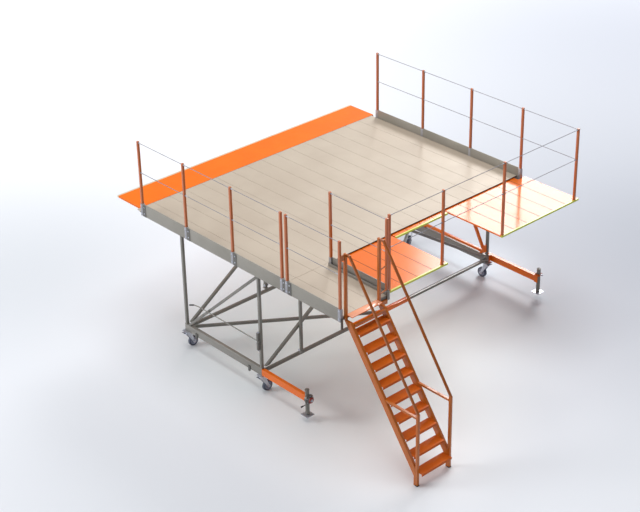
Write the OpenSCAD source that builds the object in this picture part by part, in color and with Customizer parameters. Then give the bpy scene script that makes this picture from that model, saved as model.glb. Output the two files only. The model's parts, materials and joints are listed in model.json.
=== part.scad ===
// Wheeled access platform with stairs: a flat deck on a braced tube base,
// slide-out floor panels, a front flap, guard rails and a stair flight.
// Deck coordinates: X runs towards the stairs, Y from the stair side to the far side,
// the first left guard post stands at X = 0, Y = 0, and the floor is Z = 0.

/* [Deck] */
// Height of the walking surface
deck_h = 1980; // [1800:10:2200]
// Length of the main deck along X
deck_l = 3097; // [2800:1:3400]
// Distance between the two side rows of guard posts
deck_w = 4716; // [4400:4:5200]
// Deck edge in front of the first guard post
deck_front = 117; // [100:1:300]
// Thickness of the floor planks
plank_t = 16; // [12:1:22]
// Gap between planks
plank_gap = 4; // [2:1:8]
// Number of planks across the main deck
plank_count = 16; // [10:1:24]
// Thickness of the edge plates and toe boards
edge_t = 8; // [5:1:12]
// Depth of the edge plates below the walking surface
edge_drop = 60; // [50:5:80]
// Height of the toe boards above the walking surface
toe_h = 140; // [100:5:180]

/* [Landing] */
// Length of the stair landing beyond the last full bay
landing_l = 1010; // [900:10:1200]
// Distance from the left posts to the landing fence
landing_w = 846; // [780:2:900]
// Number of planks on the landing
landing_planks = 3; // [2:1:5]
// Height of the front lip of the landing fence
lip_h = 46; // [30:2:60]
// Distance between the paired posts where two rail sections meet
pair_gap = 100; // [70:5:160]

/* [Slide-out panels] */
// Air between the deck planks and the panels that slide under them
slide_air = 5; // [5:1:10]
// Thickness of the slide-out panels
ext_t = 25; // [18:1:28]
// Reach of the extended panels beyond the deck edge
ext_reach = 1105; // [900:5:1200]
// Part of an extended panel that stays under the deck
ext_tail = 560; // [540:10:620]
// Reach of the retracted middle panel beyond the deck edge
mid_reach = 95; // [60:5:150]
// Distance from the landing fence to the near panel
panel_in = 74; // [70:2:120]
// Width of the near panel
near_w = 1125; // [1000:5:1150]
// Width of the middle panel
mid_w = 1042; // [900:2:1080]
// Number of planks on the near panel
near_planks = 4; // [3:1:6]
// Number of planks on the middle panel
mid_planks = 4; // [3:1:6]
// Number of planks on the far panel
far_planks = 6; // [4:1:8]
// Overhang of the far panel beyond the right guard posts
far_over = 80; // [40:5:120]
// Thickness of the guide webs between the panels
web_t = 12; // [8:1:16]
// Running clearance beside the sliding panels
slide_gap = 6; // [5:1:10]
// Width of the yellow edge strips
nose_w = 24; // [20:2:70]
// Height of the yellow edge strips
nose_h = 27; // [26:1:40]
// Distance from the panel corners to their guard posts
panel_post_in = 30; // [24:2:60]
// Distance from the second post of the near panel to the panel's inner edge
second_post_in = 88; // [60:4:160]

/* [Front flap] */
// Length of the hinged front flap
flap_l = 553; // [400:1:600]
// Thickness of the flap
flap_t = 28; // [20:1:32]
// Gap between the flap and the deck edge
flap_gap = 8; // [6:1:12]
// Width of the pale edge strip on the flap
flap_nose = 30; // [20:5:50]
// Near edge of the flap, from the line of the left posts
flap_in = 40; // [36:1:60]
// Overhang of the flap beyond the line of the right posts
flap_over = 24; // [0:1:60]
// Radius of the flap hinge pins
hinge_r = 7; // [5:0.5:9]
// Outer radius of the hinge knuckles
knuckle_r = 14; // [12:0.5:18]
// Width of one hinge knuckle
knuckle_w = 40; // [30:1:60]
// Number of hinges along the flap
hinge_count = 5; // [3:1:7]
// Distance from the ends of the deck to the outer hinges
hinge_in = 200; // [120:10:400]

/* [Guard rails] */
// Height of the guard rail above the deck
rail_h = 1100; // [1000:10:1200]
// Height of the middle rail above the deck
mid_rail_h = 620; // [450:10:700]
// Distance between guard posts
post_pitch = 1010; // [900:5:1100]
// Width of the square guard posts
post_s = 34; // [30:1:45]
// Wall of the post sockets
socket_wall = 6; // [4:0.5:8]
// Height of the post sockets
socket_h = 188; // [150:2:200]
// Diameter of the rail rods
rod_d = 9; // [6:1:20]
// Length of the bracket plates beside the post sockets
bracket_l = 75; // [50:5:100]

/* [Base] */
// Width of the square legs
leg_s = 42; // [40:2:70]
// Distance from the first guard post to the front legs
leg_x = 780; // [600:10:1000]
// Distance between front and rear legs
leg_span = 1660; // [1400:10:1800]
// Distance from the left posts to the near legs
leg_y = 80; // [70:2:120]
// Distance from the far legs to the line of the right posts
far_leg_in = 6; // [0:2:80]
// Height of the base beams
beam_h = 120; // [80:5:140]
// Width of the base beams
beam_w = 50; // [40:2:70]
// Clear height under the base beams
beam_clear = 285; // [270:5:340]
// Width of the bracing tubes
brace_s = 40; // [30:2:60]
// Depth of the cross beams under the deck
bolster_h = 60; // [50:5:80]
// Width of the loose struts
strut_s = 38; // [36:2:50]
// Place of the loose strut along the rear base beam
strut_y = 775; // [600:5:1200]
// Thickness of the foot plates under the loose struts
strut_foot_t = 8; // [5:1:12]
// Height of the forks that hold the feet of the loose struts
strut_fork_h = 72; // [60:2:100]
// Height of the base end beams
end_beam_h = 40; // [30:5:60]
// Depth of the end beams below the top of the side beams
end_beam_in = 45; // [30:5:60]
// Thickness of the lashing lugs
lug_t = 12; // [8:1:16]
// Outer radius of the lashing lugs
lug_r = 20; // [18:1:36]
// Radius of the lashing lug holes
lug_hole_r = 9; // [7:0.5:12]
// Distance from the legs to the lashing lugs
lug_in = 240; // [180:10:320]

/* [Outriggers and jacks] */
// Distance from the rear legs to the jacks
outrigger_l = 935; // [700:5:1100]
// Extra reach of the far outrigger
far_reach = 40; // [0:5:80]
// Height of the outrigger tubes
outrigger_h = 100; // [80:5:110]
// Offset of the far outrigger outside the far beam
outrigger_off = 90; // [76:2:120]
// Outer diameter of the jack tubes
jack_d = 60; // [50:1:80]
// Length of the jack tubes
jack_l = 390; // [340:5:440]
// Height of the raised near jack pad above the floor
near_lift = 75; // [60:5:120]
// Height of the raised far jack pad above the floor
far_lift = 115; // [60:5:140]
// Width of the square jack pads
pad_s = 136; // [100:2:180]
// Thickness of the jack pads
pad_t = 10; // [6:1:14]
// Wall of the jack tubes
jack_wall = 7; // [5:0.5:9]
// Diameter of the gear housing on the near jack
gear_d = 146; // [100:2:160]
// Reach of the gear housing beyond the jack tube
gear_l = 46; // [30:2:70]
// Diameter of the cap on the gear housing
cap_d = 88; // [60:2:96]
// Length of the lock handle on the near jack
handle_l = 85; // [60:5:120]
// Drop of the lock handle below the jack's shaft
handle_drop = 96; // [86:2:120]
// Diameter of the lock handle
handle_d = 12; // [8:1:16]
// Height of the boss on the far jack above the level of the gear
boss_lift = 90; // [60:5:110]
// Diameter of the boss on the far jack
boss_d = 30; // [20:2:40]
// Reach of the boss on the far jack
boss_l = 34; // [20:2:50]
// Width of the orange prop tubes on the far side
prop_s = 40; // [30:2:45]
// Distance from the far rear leg to the head of the steep prop
prop_reach = 790; // [600:10:1100]
// Distance from the far front leg to the parked tube
prop_in = 260; // [200:10:400]
// Length of the sleeve on the rear end beam
sleeve_l = 1185; // [800:5:1400]
// Distance from the near rear leg to the sleeve
sleeve_in = 1720; // [1500:10:2000]

/* [Casters] */
// Diameter of the caster wheels
wheel_d = 160; // [125:5:180]
// Width of the caster wheels
wheel_w = 46; // [36:2:60]
// Distance from swivel axis to wheel axle
trail = 85; // [45:1:90]
// Radius of the wheel axles
axle_r = 8; // [6:0.5:10]

/* [Stairs] */
// Number of treads between floor and landing
steps = 9; // [8:1:11]
// Horizontal distance between treads
run = 141; // [120:1:180]
// Distance between the two stringer centre lines
stair_w = 592; // [500:4:740]
// Depth of the stringer tubes
stringer_d = 100; // [80:5:120]
// Thickness of the stringer tubes
stringer_t = 40; // [30:2:50]
// Distance from the line of the nosings to the stringers, square to the flight
nose_in = 23; // [15:1:40]
// Depth of a tread
tread_d = 158; // [130:2:180]
// Height of the handrail bend above the floor
bend_h = 1100; // [900:10:1200]
// Width of the handrail tubes
hand_s = 30; // [24:2:36]
// Width of the stair posts
stair_post_s = 38; // [36:2:44]
// Height of the stair posts at the landing above the deck
hand_top_h = 905; // [850:5:1000]
// Width of the stair cross tubes and stays
stay_s = 30; // [20:2:40]
// Height of the stays between the flight and its front legs
stay_h = 1035; // [900:5:1060]
// Height above the deck of the upper link between the right stair post and the fence
link_h = 430; // [200:10:700]

/* [Pull bar] */
// Height of the pull bar above the floor
pull_h = 850; // [700:10:1000]
// Length of the straight part of the pull bar
pull_l = 1290; // [900:10:1350]
// Diameter of the pull bar
pull_d = 16; // [12:1:22]
// Radius of the pull bar pin
pull_pin_r = 8; // [6:0.5:10]
// Length of the bent end of the pull bar
cane_l = 226; // [120:2:300]
// Drop of the bent end of the pull bar
cane_drop = 62; // [30:2:80]
// Height of the two blocks of the pull bar bracket
bracket_h = 120; // [80:5:150]

/* [Hidden] */
$fn = 48;
seat = 0.3;                     // air between a moving piece and its seat
fit = 0.08;                     // radial clearance of a pin in its bore
deck_x0 = -deck_front;
deck_x1 = deck_x0 + deck_l;
plank_z = deck_h - plank_t;
edge_z = deck_h - edge_drop;
bays = 3;
pair_x = bays * post_pitch + pair_gap;
land_x = pair_x + landing_l;    // last left post, at the top of the stairs
socket_s = post_s + 2 * socket_wall;
edge_in = post_s / 2 + 3;       // from a post row to the near face of its edge plate
floor_y0 = edge_t - edge_in;
floor_y1 = deck_w - socket_s / 2;
rail_y0 = socket_s / 2;         // near face of the left side rail, behind the sockets
ext_drop = plank_t + slide_air;
web_step = web_t + 2 * slide_gap;
near_y = landing_w + panel_in;
mid_y = near_y + near_w + web_step;
far_y = mid_y + mid_w + web_step;
far_w = deck_w + far_over - far_y;
ext_z = deck_h - ext_drop - ext_t;
bolster_z = edge_z - bolster_h;
bolster_w = 60;
rear_bolster_x = deck_x1 - 10;
rail_w = 50;
mid_joist_x = deck_x1 + mid_reach - ext_reach - ext_tail - 70;
rear_x = leg_x + leg_span;
far_leg_y = deck_w - far_leg_in;
leg_track = far_leg_y - leg_y;
mid_leg_y = leg_y + leg_track / 2;
beam_z = beam_clear + beam_h;   // top of the base side beams
end_z = beam_z - end_beam_in;   // top of the base end beams
flap_z = deck_h - flap_t;
flap_x1 = deck_x0 - flap_gap;
flap_x0 = flap_x1 - flap_l;
flap_y1 = deck_w + flap_over;
hinge_x = deck_x0 - knuckle_r - 2;
hinge_z = flap_z - knuckle_r - 2;
jack_x = rear_x + outrigger_l;
outrigger_z = beam_clear + (beam_h - outrigger_h) / 2;
girder_y = [leg_y + leg_track / 3, leg_y + leg_track * 2 / 3];
far_out_y = far_leg_y + outrigger_off;
stair_y0 = leg_y;               // centre line of the left stringer
stair_y1 = stair_y0 + stair_w;
rise = deck_h / (steps + 1);
nose_x0 = land_x + 115;         // nosing of the landing tread
foot_x = nose_x0 + steps * run - 84;
stair_post_x = land_x + stair_post_s / 2;
top_rail_z = deck_h + rail_h - 14;
hand_top_x = stair_post_x + 80;
hand_top_z = deck_h + hand_top_h;
near_end = min(-socket_s / 2, leg_y - jack_d / 2 - handle_l);
far_end = far_out_y + pad_s / 2;
ORIGIN = [(flap_x0 + nose_x0 + steps * run) / 2, (near_end + far_end) / 2, 0];

// Leg and caster places: X, Y
LEGS = [[leg_x, leg_y], [rear_x, leg_y], [rear_x, far_leg_y], [leg_x, far_leg_y]];

// A block from its low corner to its high corner
module block(lo, hi) { translate(lo) cube(hi - lo); }

// A rectangular bar whose centre line runs from p to q: depth in its upright plane, width across
module bar(p, q, depth, width) {
    v = q - p;
    flat = norm([v.x, v.y]);
    translate(p)
        rotate([0, atan2(flat, v.z), atan2(v.y, v.x)])
            translate([-depth / 2, -width / 2, 0])
                cube([depth, width, norm(v)]);
}

// A round rod from p to q
module rod(p, q, d) {
    v = q - p;
    translate(p)
        rotate([0, atan2(norm([v.x, v.y]), v.z), atan2(v.y, v.x)])
            cylinder(d = d, h = norm(v));
}

trim_over = 200;                // a trimmed bar is drawn this much past its ends
// A brace from p to q, trimmed to the opening of its frame
module brace(p, q, lo, hi, depth = brace_s, width = brace_s) {
    v = (q - p) / norm(q - p);
    intersection() {
        bar(p - v * trim_over, q + v * trim_over, depth, width);
        block(lo, hi);
    }
}

// Planks side by side from y0 to y1, each as long as x0 to x1
module planks(x0, x1, y0, y1, z, t, count) {
    w = (y1 - y0 + plank_gap) / count;
    for (i = [0 : count - 1])
        block([x0, y0 + i * w, z], [x1, y0 + (i + 1) * w - plank_gap, z + t]);
}

// Base frame
module base_side_beams() {
    color("gray")
        for (y = [leg_y, far_leg_y])
            block([leg_x - leg_s / 2, y - beam_w / 2, beam_clear],
                  [rear_x + leg_s / 2, y + beam_w / 2, beam_z]);
}
module base_end_beams() {
    color("gray")
        for (x = [leg_x, rear_x])
            block([x - beam_w / 2, leg_y + beam_w / 2, end_z - end_beam_h],
                  [x + beam_w / 2, far_leg_y - beam_w / 2, end_z]);
}
module base_diagonals() {
    z = end_z - brace_s / 2;
    goal = [rear_x, mid_leg_y, z];
    color("gray")
        for (s = [-1, 1])
            brace([leg_x, mid_leg_y + s * leg_track / 2, z], goal,
                  [leg_x + beam_w / 2, s < 0 ? leg_y + beam_w / 2 : mid_leg_y + 4, 0],
                  [rear_x - beam_w / 2, s < 0 ? mid_leg_y - 4 : far_leg_y - beam_w / 2, deck_h]);
}
module legs() {
    color("gray")
        for (p = LEGS)
            block([p.x - leg_s / 2, p.y - leg_s / 2, beam_z], [p.x + leg_s / 2, p.y + leg_s / 2, bolster_z]);
}
module side_braces() {
    color("gray")
        for (y = [leg_y, far_leg_y])
            brace([leg_x, y, beam_z - 60], [rear_x, y, bolster_z + 10],
                  [leg_x + leg_s / 2, y - leg_s, beam_z], [rear_x - leg_s / 2, y + leg_s, bolster_z]);
}
module end_braces() {
    for (x = [leg_x, rear_x])
        for (s = [-1, 1])
            color("gray")
                brace([x, mid_leg_y + s * leg_track / 2, beam_z - 60], [x, mid_leg_y, bolster_z + 25],
                      [x - leg_s, s < 0 ? leg_y + leg_s / 2 : mid_leg_y + 4, beam_z],
                      [x + leg_s, s < 0 ? mid_leg_y - 4 : far_leg_y - leg_s / 2, bolster_z]);
}
module loose_struts() {
    // Columns: side of the cross beam the strut stands on, beam X, Y, top
    places = [[1, rear_x, strut_y, edge_z], [-1, leg_x, girder_y[0], bolster_z]];
    color("gray")
        for (p = places) {
            x = p[1] + p[0] * (bolster_w / 2 + strut_s / 2);
            foot = end_z + strut_fork_h / 2;
            block([x - strut_s / 2, p[2] - strut_s / 2, foot], [x + strut_s / 2, p[2] + strut_s / 2, p[3]]);
            // Foot plate on the end beam, with a fork plate on each side of the strut
            translate([p[1] + p[0] * bolster_w / 2, p[2], end_z + strut_foot_t / 2])
                cube([2 * strut_s + 8, strut_s + 30, strut_foot_t], center = true);
            for (s = [-1, 1])
                translate([x, p[2] + s * (strut_s / 2 + 3), end_z + strut_fork_h / 2])
                    cube([strut_s, 6, strut_fork_h], center = true);
        }
}
module lashing_lugs() {
    // Columns: beam centre Y, side of the beam the lug stands on
    places = [[leg_y, -1], [far_leg_y, 1]];
    color("dimgray")
        for (p = places)
            for (x = [leg_x + lug_in, rear_x - lug_in])
                translate([x, p[0] + p[1] * (beam_w + lug_t) / 2 + lug_t / 2, beam_clear - lug_hole_r - 5])
                    rotate([90, 0, 0])
                        linear_extrude(lug_t)
                            difference() {
                                union() {
                                    translate([-lug_r, 0]) square([2 * lug_r, lug_hole_r + 5 + beam_h / 2]);
                                    circle(r = lug_r);
                                }
                                circle(r = lug_hole_r);
                            }
}

// Deck structure
module deck_bolsters() {
    color("gray") {
        for (x = [leg_x, rear_x])
            block([x - bolster_w / 2, leg_y - leg_s / 2, bolster_z],
                  [x + bolster_w / 2, far_leg_y + leg_s / 2, edge_z]);
        block([rear_bolster_x - 40, leg_y - leg_s / 2, bolster_z], [rear_bolster_x, floor_y1, edge_z]);
    }
}
module deck_joists() {
    color("gray") {
        for (x = [deck_x0, (deck_x0 + leg_x) / 2, leg_x - 20, mid_joist_x])
            block([x, rail_y0 + rail_w, edge_z], [x + 40, floor_y1 - rail_w, plank_z]);
        block([land_x - 40, rail_y0 + rail_w, edge_z], [land_x, landing_w - 20, plank_z]);
    }
}
module deck_girders() {
    // Columns: low X, high X
    spans = [[deck_x0, leg_x - bolster_w / 2], [leg_x + bolster_w / 2, rear_x - bolster_w / 2],
             [rear_x + bolster_w / 2, rear_bolster_x - 40]];
    color("gray")
        for (y = girder_y)
            for (span = spans)
                block([span[0], y - 25, bolster_z], [span[1], y + 25, edge_z]);
}
module deck_side_rails() {
    color("gray") {
        block([deck_x0, rail_y0, edge_z], [land_x, rail_y0 + rail_w, plank_z]);
        block([deck_x0, floor_y1 - rail_w, edge_z], [deck_x1, floor_y1, plank_z]);
        block([rear_x - bolster_w / 2, landing_w - 20, edge_z], [land_x, landing_w + rail_y0, plank_z]);
    }
}
module panel_webs() {
    color("gray")
        for (y = [mid_y, far_y])
            block([mid_joist_x + 40, y - slide_gap - web_t, edge_z], [deck_x1, y - slide_gap, plank_z]);
}
module slide_pads() {
    // Columns: low Y, width of the panel above
    places = [[near_y, near_w], [mid_y, mid_w], [far_y, floor_y1 - rail_w - slide_gap - far_y]];
    color("dimgray")
        for (p = places)
            for (x = [rear_x - 20, rear_bolster_x - 30])
                for (y = [p[0] + 60, p[0] + p[1] - 120])
                    block([x, y, edge_z], [x + 30, y + 60, ext_z - seat]);
}
// Room for the left post sockets in the near planks
module socket_room() {
    for (p = LEFT_POSTS)
        block([p.x - socket_s / 2, p.y - socket_s / 2, edge_z],
              [p.x + socket_s / 2, p.y + socket_s / 2, deck_h + 1]);
}
module deck_planks() {
    color("tan")
        difference() {
            planks(deck_x0, deck_x1, floor_y0, floor_y1, plank_z, plank_t, plank_count);
            socket_room();
        }
}
module landing_floor() {
    color("tan")
        difference() {
            planks(deck_x1 + plank_gap, land_x, floor_y0, landing_w + rail_y0,
                   plank_z, plank_t, landing_planks);
            socket_room();
        }
}
module edge_plates() {
    // Columns: from this X to that X, line of the posts
    spans = concat([for (i = [0 : bays + 1]) [LEFT_POSTS[i].x, LEFT_POSTS[i + 1].x, 0]],
                   [for (i = [0 : bays - 1]) [RIGHT_POSTS[i].x, RIGHT_POSTS[i + 1].x, deck_w]]);
    color("darkgray")
        for (p = spans)
            block([p[0] + socket_s / 2, p[2] - edge_in, edge_z],
                  [p[1] - socket_s / 2, p[2] - edge_in + edge_t, deck_h + toe_h]);
}
module landing_toe_board() {
    x0 = FENCE_POSTS[0].x;
    x1 = FENCE_POSTS[1].x;
    color("dimgray") {
        block([x0 + socket_s / 2, landing_w - edge_t / 2, deck_h],
              [x1 - socket_s / 2, landing_w + edge_t / 2, deck_h + toe_h]);
        block([x0 - socket_s / 2, landing_w - socket_s / 2 - 12, deck_h],
              [x1 + socket_s / 2, landing_w - socket_s / 2, deck_h + lip_h]);
        // Socket of the last fence post and its bracket on the end of the landing
        difference() {
            block([x1 - socket_s / 2, landing_w - socket_s / 2, deck_h],
                  [x1 + socket_s / 2, landing_w + socket_s / 2, deck_h + lip_h + 14]);
            block([x1 - post_s / 2, landing_w - post_s / 2, deck_h - 1],
                  [x1 + post_s / 2, landing_w + post_s / 2, deck_h + toe_h]);
        }
        block([land_x, landing_w - socket_s / 2, edge_z - 20],
              [land_x + 18, landing_w + socket_s / 2, deck_h + lip_h]);
    }
}

// Guard rails
// Columns: X, Y of the socketed posts on the left and right sides
LEFT_POSTS = [for (i = [0 : bays]) [i * post_pitch, 0], [pair_x, 0], [land_x, 0]];
RIGHT_POSTS = [for (i = [0 : bays]) [i * post_pitch, deck_w]];
FENCE_POSTS = [[deck_x1 + 80, landing_w], [land_x - 20, landing_w]];
panel_post_x = deck_x1 + ext_reach - post_s / 2 - 8;
PANEL_POSTS = [[panel_post_x, near_y + panel_post_in], [panel_post_x, near_y + near_w - second_post_in],
               [panel_post_x, far_y + panel_post_in], [panel_post_x, deck_w]];

module upright(p, z0) {
    block([p.x - post_s / 2, p.y - post_s / 2, z0], [p.x + post_s / 2, p.y + post_s / 2, deck_h + rail_h]);
}
module post_sockets() {
    // Columns: post, low end of the socket, low end of the post in it
    places = concat([for (p = concat(LEFT_POSTS, RIGHT_POSTS)) [p, edge_z, edge_z + 10]],
                    [[FENCE_POSTS[0], deck_h, deck_h]]);
    color("silver")
        for (k = places) {
            p = k[0];
            difference() {
                block([p.x - socket_s / 2, p.y - socket_s / 2, k[1]],
                      [p.x + socket_s / 2, p.y + socket_s / 2, edge_z + socket_h]);
                block([p.x - post_s / 2, p.y - post_s / 2, k[2]],
                      [p.x + post_s / 2, p.y + post_s / 2, edge_z + socket_h + 1]);
            }
        }
}
module post_brackets() {
    // Plates on the edge plates, each beside the socket of a left post
    color("dimgray") {
        for (i = [0 : bays + 1]) {
            x = LEFT_POSTS[i].x + socket_s / 2;
            x1 = min(x + bracket_l, LEFT_POSTS[i + 1].x - socket_s / 2);
            block([x, -socket_s / 2, edge_z], [x1, -edge_in, deck_h + toe_h - 8]);
        }
        // Hook of the stair flight on the last left post
        block([land_x + socket_s / 2, -16, edge_z - 110], [land_x + socket_s / 2 + 12, 16, edge_z + 40]);
    }
}
module side_posts() { color("coral") for (p = concat(LEFT_POSTS, RIGHT_POSTS)) upright(p, edge_z + 10); }
module fence_posts() { color("coral") for (p = FENCE_POSTS) upright(p, deck_h); }
module panel_posts() {
    color("coral") for (p = PANEL_POSTS) upright(p, ext_z + ext_t);
}
module rod_span(a, b) {
    v = (b - a) / norm(b - a);
    for (z = [top_rail_z, deck_h + mid_rail_h])
        rod([each (a + v * post_s / 2), z], [each (b - v * post_s / 2), z], rod_d);
}
module guard_rods() {
    color("silver") {
        for (i = [0 : bays - 1]) {
            rod_span(LEFT_POSTS[i], LEFT_POSTS[i + 1]);
            rod_span(RIGHT_POSTS[i], RIGHT_POSTS[i + 1]);
        }
        rod_span(LEFT_POSTS[bays + 1], LEFT_POSTS[bays + 2]);
        rod_span(FENCE_POSTS[0], FENCE_POSTS[1]);
        for (i = [0 : 2]) rod_span(PANEL_POSTS[i], PANEL_POSTS[i + 1]);
        rod_span(RIGHT_POSTS[bays], PANEL_POSTS[3]);
    }
}

// Slide-out panels
panel_x1 = deck_x1 + ext_reach - nose_w;
module near_panel() {
    color("orange")
        planks(deck_x1 - ext_tail, panel_x1, near_y, near_y + near_w, ext_z, ext_t, near_planks);
}
module far_panel() {
    color("orange") {
        difference() {
            planks(deck_x1 - ext_tail, panel_x1, far_y, far_y + far_w, ext_z, ext_t, far_planks);
            block([0, floor_y1 - rail_w - slide_gap, 0],
                  [bays * post_pitch + socket_s / 2 + slide_gap, deck_w + 2 * far_over, deck_h]);
        }
    }
}
module panel_noses() {
    // Columns: low Y, width
    color("yellow")
        for (p = [[near_y, near_w], [far_y, far_w]])
            block([panel_x1, p[0], ext_z + ext_t - nose_h], [panel_x1 + nose_w, p[0] + p[1], ext_z + ext_t]);
}
module mid_panel() {
    x1 = deck_x1 + mid_reach - nose_w;
    color("orange")
        planks(x1 - ext_reach - ext_tail + nose_w, x1, mid_y, mid_y + mid_w, ext_z, ext_t, mid_planks);
}
module mid_nose() {
    x1 = deck_x1 + mid_reach;
    color("yellow")
        block([x1 - nose_w, mid_y, ext_z + ext_t - nose_h], [x1, mid_y + mid_w, ext_z + ext_t]);
}

// Front flap
module bridge_flap() {
    color("orange") block([flap_x0 + flap_nose, flap_in, flap_z], [flap_x1, flap_y1, deck_h]);
}
module flap_nose_strip() {
    color("khaki") block([flap_x0, flap_in, flap_z], [flap_x0 + flap_nose, flap_y1, deck_h]);
}
hinge_pitch = (floor_y1 - floor_y0 - 2 * hinge_in) / (hinge_count - 1);
HINGE_Y = [for (i = [0 : hinge_count - 1]) floor_y0 + hinge_in + i * hinge_pitch];
module flap_hinges() {
    // Two fixed knuckles with the pin through both
    color("silver")
        for (y = HINGE_Y) {
            for (s = [-1, 1])
                translate([hinge_x, y + s * (knuckle_w + 1) - knuckle_w / 2, hinge_z]) {
                    rotate([-90, 0, 0]) cylinder(r = knuckle_r, h = knuckle_w);
                    translate([0, 0, -knuckle_r]) cube([deck_x0 - hinge_x, knuckle_w, 1.6 * knuckle_r]);
                }
            rod([hinge_x, y - knuckle_w, hinge_z], [hinge_x, y + knuckle_w, hinge_z], 2 * hinge_r);
        }
}
module flap_knuckles() {
    color("silver")
        for (y = HINGE_Y)
            translate([hinge_x, y - knuckle_w / 2, hinge_z])
                difference() {
                    union() {
                        rotate([-90, 0, 0]) cylinder(r = knuckle_r, h = knuckle_w);
                        translate([-knuckle_r - 30, 0, 0])
                            cube([knuckle_r + 30, knuckle_w, flap_z - hinge_z]);
                    }
                    translate([0, -1, 0]) rotate([-90, 0, 0]) cylinder(r = hinge_r + fit, h = knuckle_w + 2);
                }
}

// Outriggers with their jacks
OUT_X = [jack_x, jack_x + far_reach];
OUT_Y = [leg_y, far_out_y];
LIFT = [near_lift, far_lift];
module outriggers() {
    // Each tube ends in a saddle on its jack tube, the far one in a thicker end block
    color("orange")
        difference() {
            union() {
                block([rear_x + leg_s / 2, leg_y - beam_w / 2, outrigger_z],
                      [jack_x, leg_y + beam_w / 2, outrigger_z + outrigger_h]);
                block([rear_x - 160, far_out_y - beam_w / 2, outrigger_z],
                      [OUT_X[1], far_out_y + beam_w / 2, outrigger_z + outrigger_h]);
                for (x = [rear_x - 130, rear_x - 20])
                    block([x, far_leg_y + beam_w / 2, outrigger_z],
                          [x + 40, far_out_y - beam_w / 2, outrigger_z + outrigger_h]);
                block([OUT_X[1] - jack_d, far_out_y - jack_d / 2 - 4, outrigger_z - 6],
                      [OUT_X[1] + 8, far_out_y + jack_d / 2 + 4, outrigger_z + outrigger_h + 14]);
            }
            for (i = [0, 1])
                translate([OUT_X[i], OUT_Y[i], outrigger_z - 20]) cylinder(d = jack_d, h = outrigger_h + 50);
        }
}
// The points at height z, and at x, on the line through p along v
function at_height(p, v, z) = p + v * (z - p.y) / v.y;
function at_x(p, v, x) = p + v * (x - p.x) / v.x;
// Middle of the steep prop's foot, in X and Z
prop_foot = [rear_x - 50, beam_z + 135];
// The steep prop with its foot block beside the rear leg, in X and Z
module prop_outline() {
    way = [rear_x - prop_reach, edge_z] - prop_foot;
    v = way / norm(way);
    n = [-v.y, v.x] * prop_s / 2;
    x = rear_x - leg_s / 2;
    low = prop_foot.y - 40;
    polygon([at_height(prop_foot + n, v, low), [x, low], [x, prop_foot.y - 60],
             [rear_x + 10, prop_foot.y - 60], [rear_x + 10, prop_foot.y + 60],
             [x, prop_foot.y + 60], at_x(prop_foot - n, v, x),
             at_height(prop_foot - n, v, edge_z), at_height(prop_foot + n, v, edge_z)]);
}
module far_props() {
    // Long tube parked on the far beam, the steep prop beside it, and the sleeve on the rear end beam
    z = beam_z + 25;
    y = far_leg_y - leg_s / 2 - 5;
    color("orange") {
        block([leg_x + prop_in, far_leg_y - prop_s / 2, z],
              [rear_x - 60, far_leg_y + prop_s / 2, z + prop_s]);
        for (x = [leg_x + prop_in + 40, rear_x - 140])
            block([x, far_leg_y - prop_s / 2, beam_z], [x + 40, far_leg_y + prop_s / 2, z]);
        translate([0, y, 0]) rotate([90, 0, 0]) linear_extrude(prop_s) prop_outline();
        block([rear_x - leg_s / 2, y, prop_foot.y - 60],
              [rear_x + 10, far_leg_y - leg_s / 2, prop_foot.y + 60]);
        // The sleeve is open on the inside, where the diagonals meet the beam
        difference() {
            block([rear_x - beam_w / 2, leg_y + sleeve_in, end_z - end_beam_h - 8],
                  [rear_x + beam_w / 2 + 6, leg_y + sleeve_in + sleeve_l, end_z + 14]);
            block([rear_x - beam_w, leg_y, end_z - end_beam_h], [rear_x + beam_w / 2, far_leg_y, end_z]);
        }
    }
}
module jack_tubes() {
    color("gray")
        for (i = [0, 1]) {
            z0 = LIFT[i] + pad_t + 5;
            difference() {
                translate([OUT_X[i], OUT_Y[i], z0]) cylinder(d = jack_d, h = jack_l);
                translate([OUT_X[i], OUT_Y[i], z0 - 1]) cylinder(d = jack_d - 2 * jack_wall, h = jack_l - 11);
            }
        }
}
gear_z = outrigger_z + outrigger_h / 2;
module jack_gears() {
    // Housing on the near jack, turned about the shaft, and a plain boss on the far jack
    r = jack_d / 2;
    color("dimgray") {
        difference() {
            translate([jack_x, OUT_Y[0], gear_z])
                rotate([0, 90, 0])
                    rotate_extrude()
                        polygon([[0, 0], [gear_d / 2 - 12, 0], [gear_d / 2 - 12, r - 8], [gear_d / 2, r + 2],
                                 [gear_d / 2, r + 16], [cap_d / 2 + 6, r + gear_l - 10],
                                 [cap_d / 2 + 6, r + gear_l], [0, r + gear_l]]);
            translate([jack_x, OUT_Y[0], gear_z - gear_d]) cylinder(d = jack_d, h = 2 * gear_d);
            block([jack_x - gear_d, OUT_Y[0] - gear_d, gear_z - gear_d],
                  [jack_x + 4, OUT_Y[0] + gear_d, gear_z + gear_d]);
        }
        rod([jack_x, OUT_Y[0] - r - seat, gear_z - handle_drop],
            [jack_x, OUT_Y[0] - r - handle_l, gear_z - handle_drop], handle_d);
        difference() {
            translate([OUT_X[1], OUT_Y[1], gear_z + boss_lift])
                rotate([0, 90, 0])
                    cylinder(d = boss_d, h = r + boss_l);
            translate([OUT_X[1], OUT_Y[1], gear_z]) cylinder(d = jack_d, h = 2 * gear_d);
        }
    }
}
module jack_caps() {
    // Cap over the shaft end of the gear housing
    r = jack_d / 2;
    color("firebrick")
        translate([jack_x + r + gear_l, OUT_Y[0], gear_z])
            rotate([0, 90, 0])
                rotate_extrude()
                    polygon([[0, 0], [cap_d / 2, 0], [cap_d / 2, 10], [cap_d / 2 - 8, 18], [0, 18]]);
}
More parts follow.
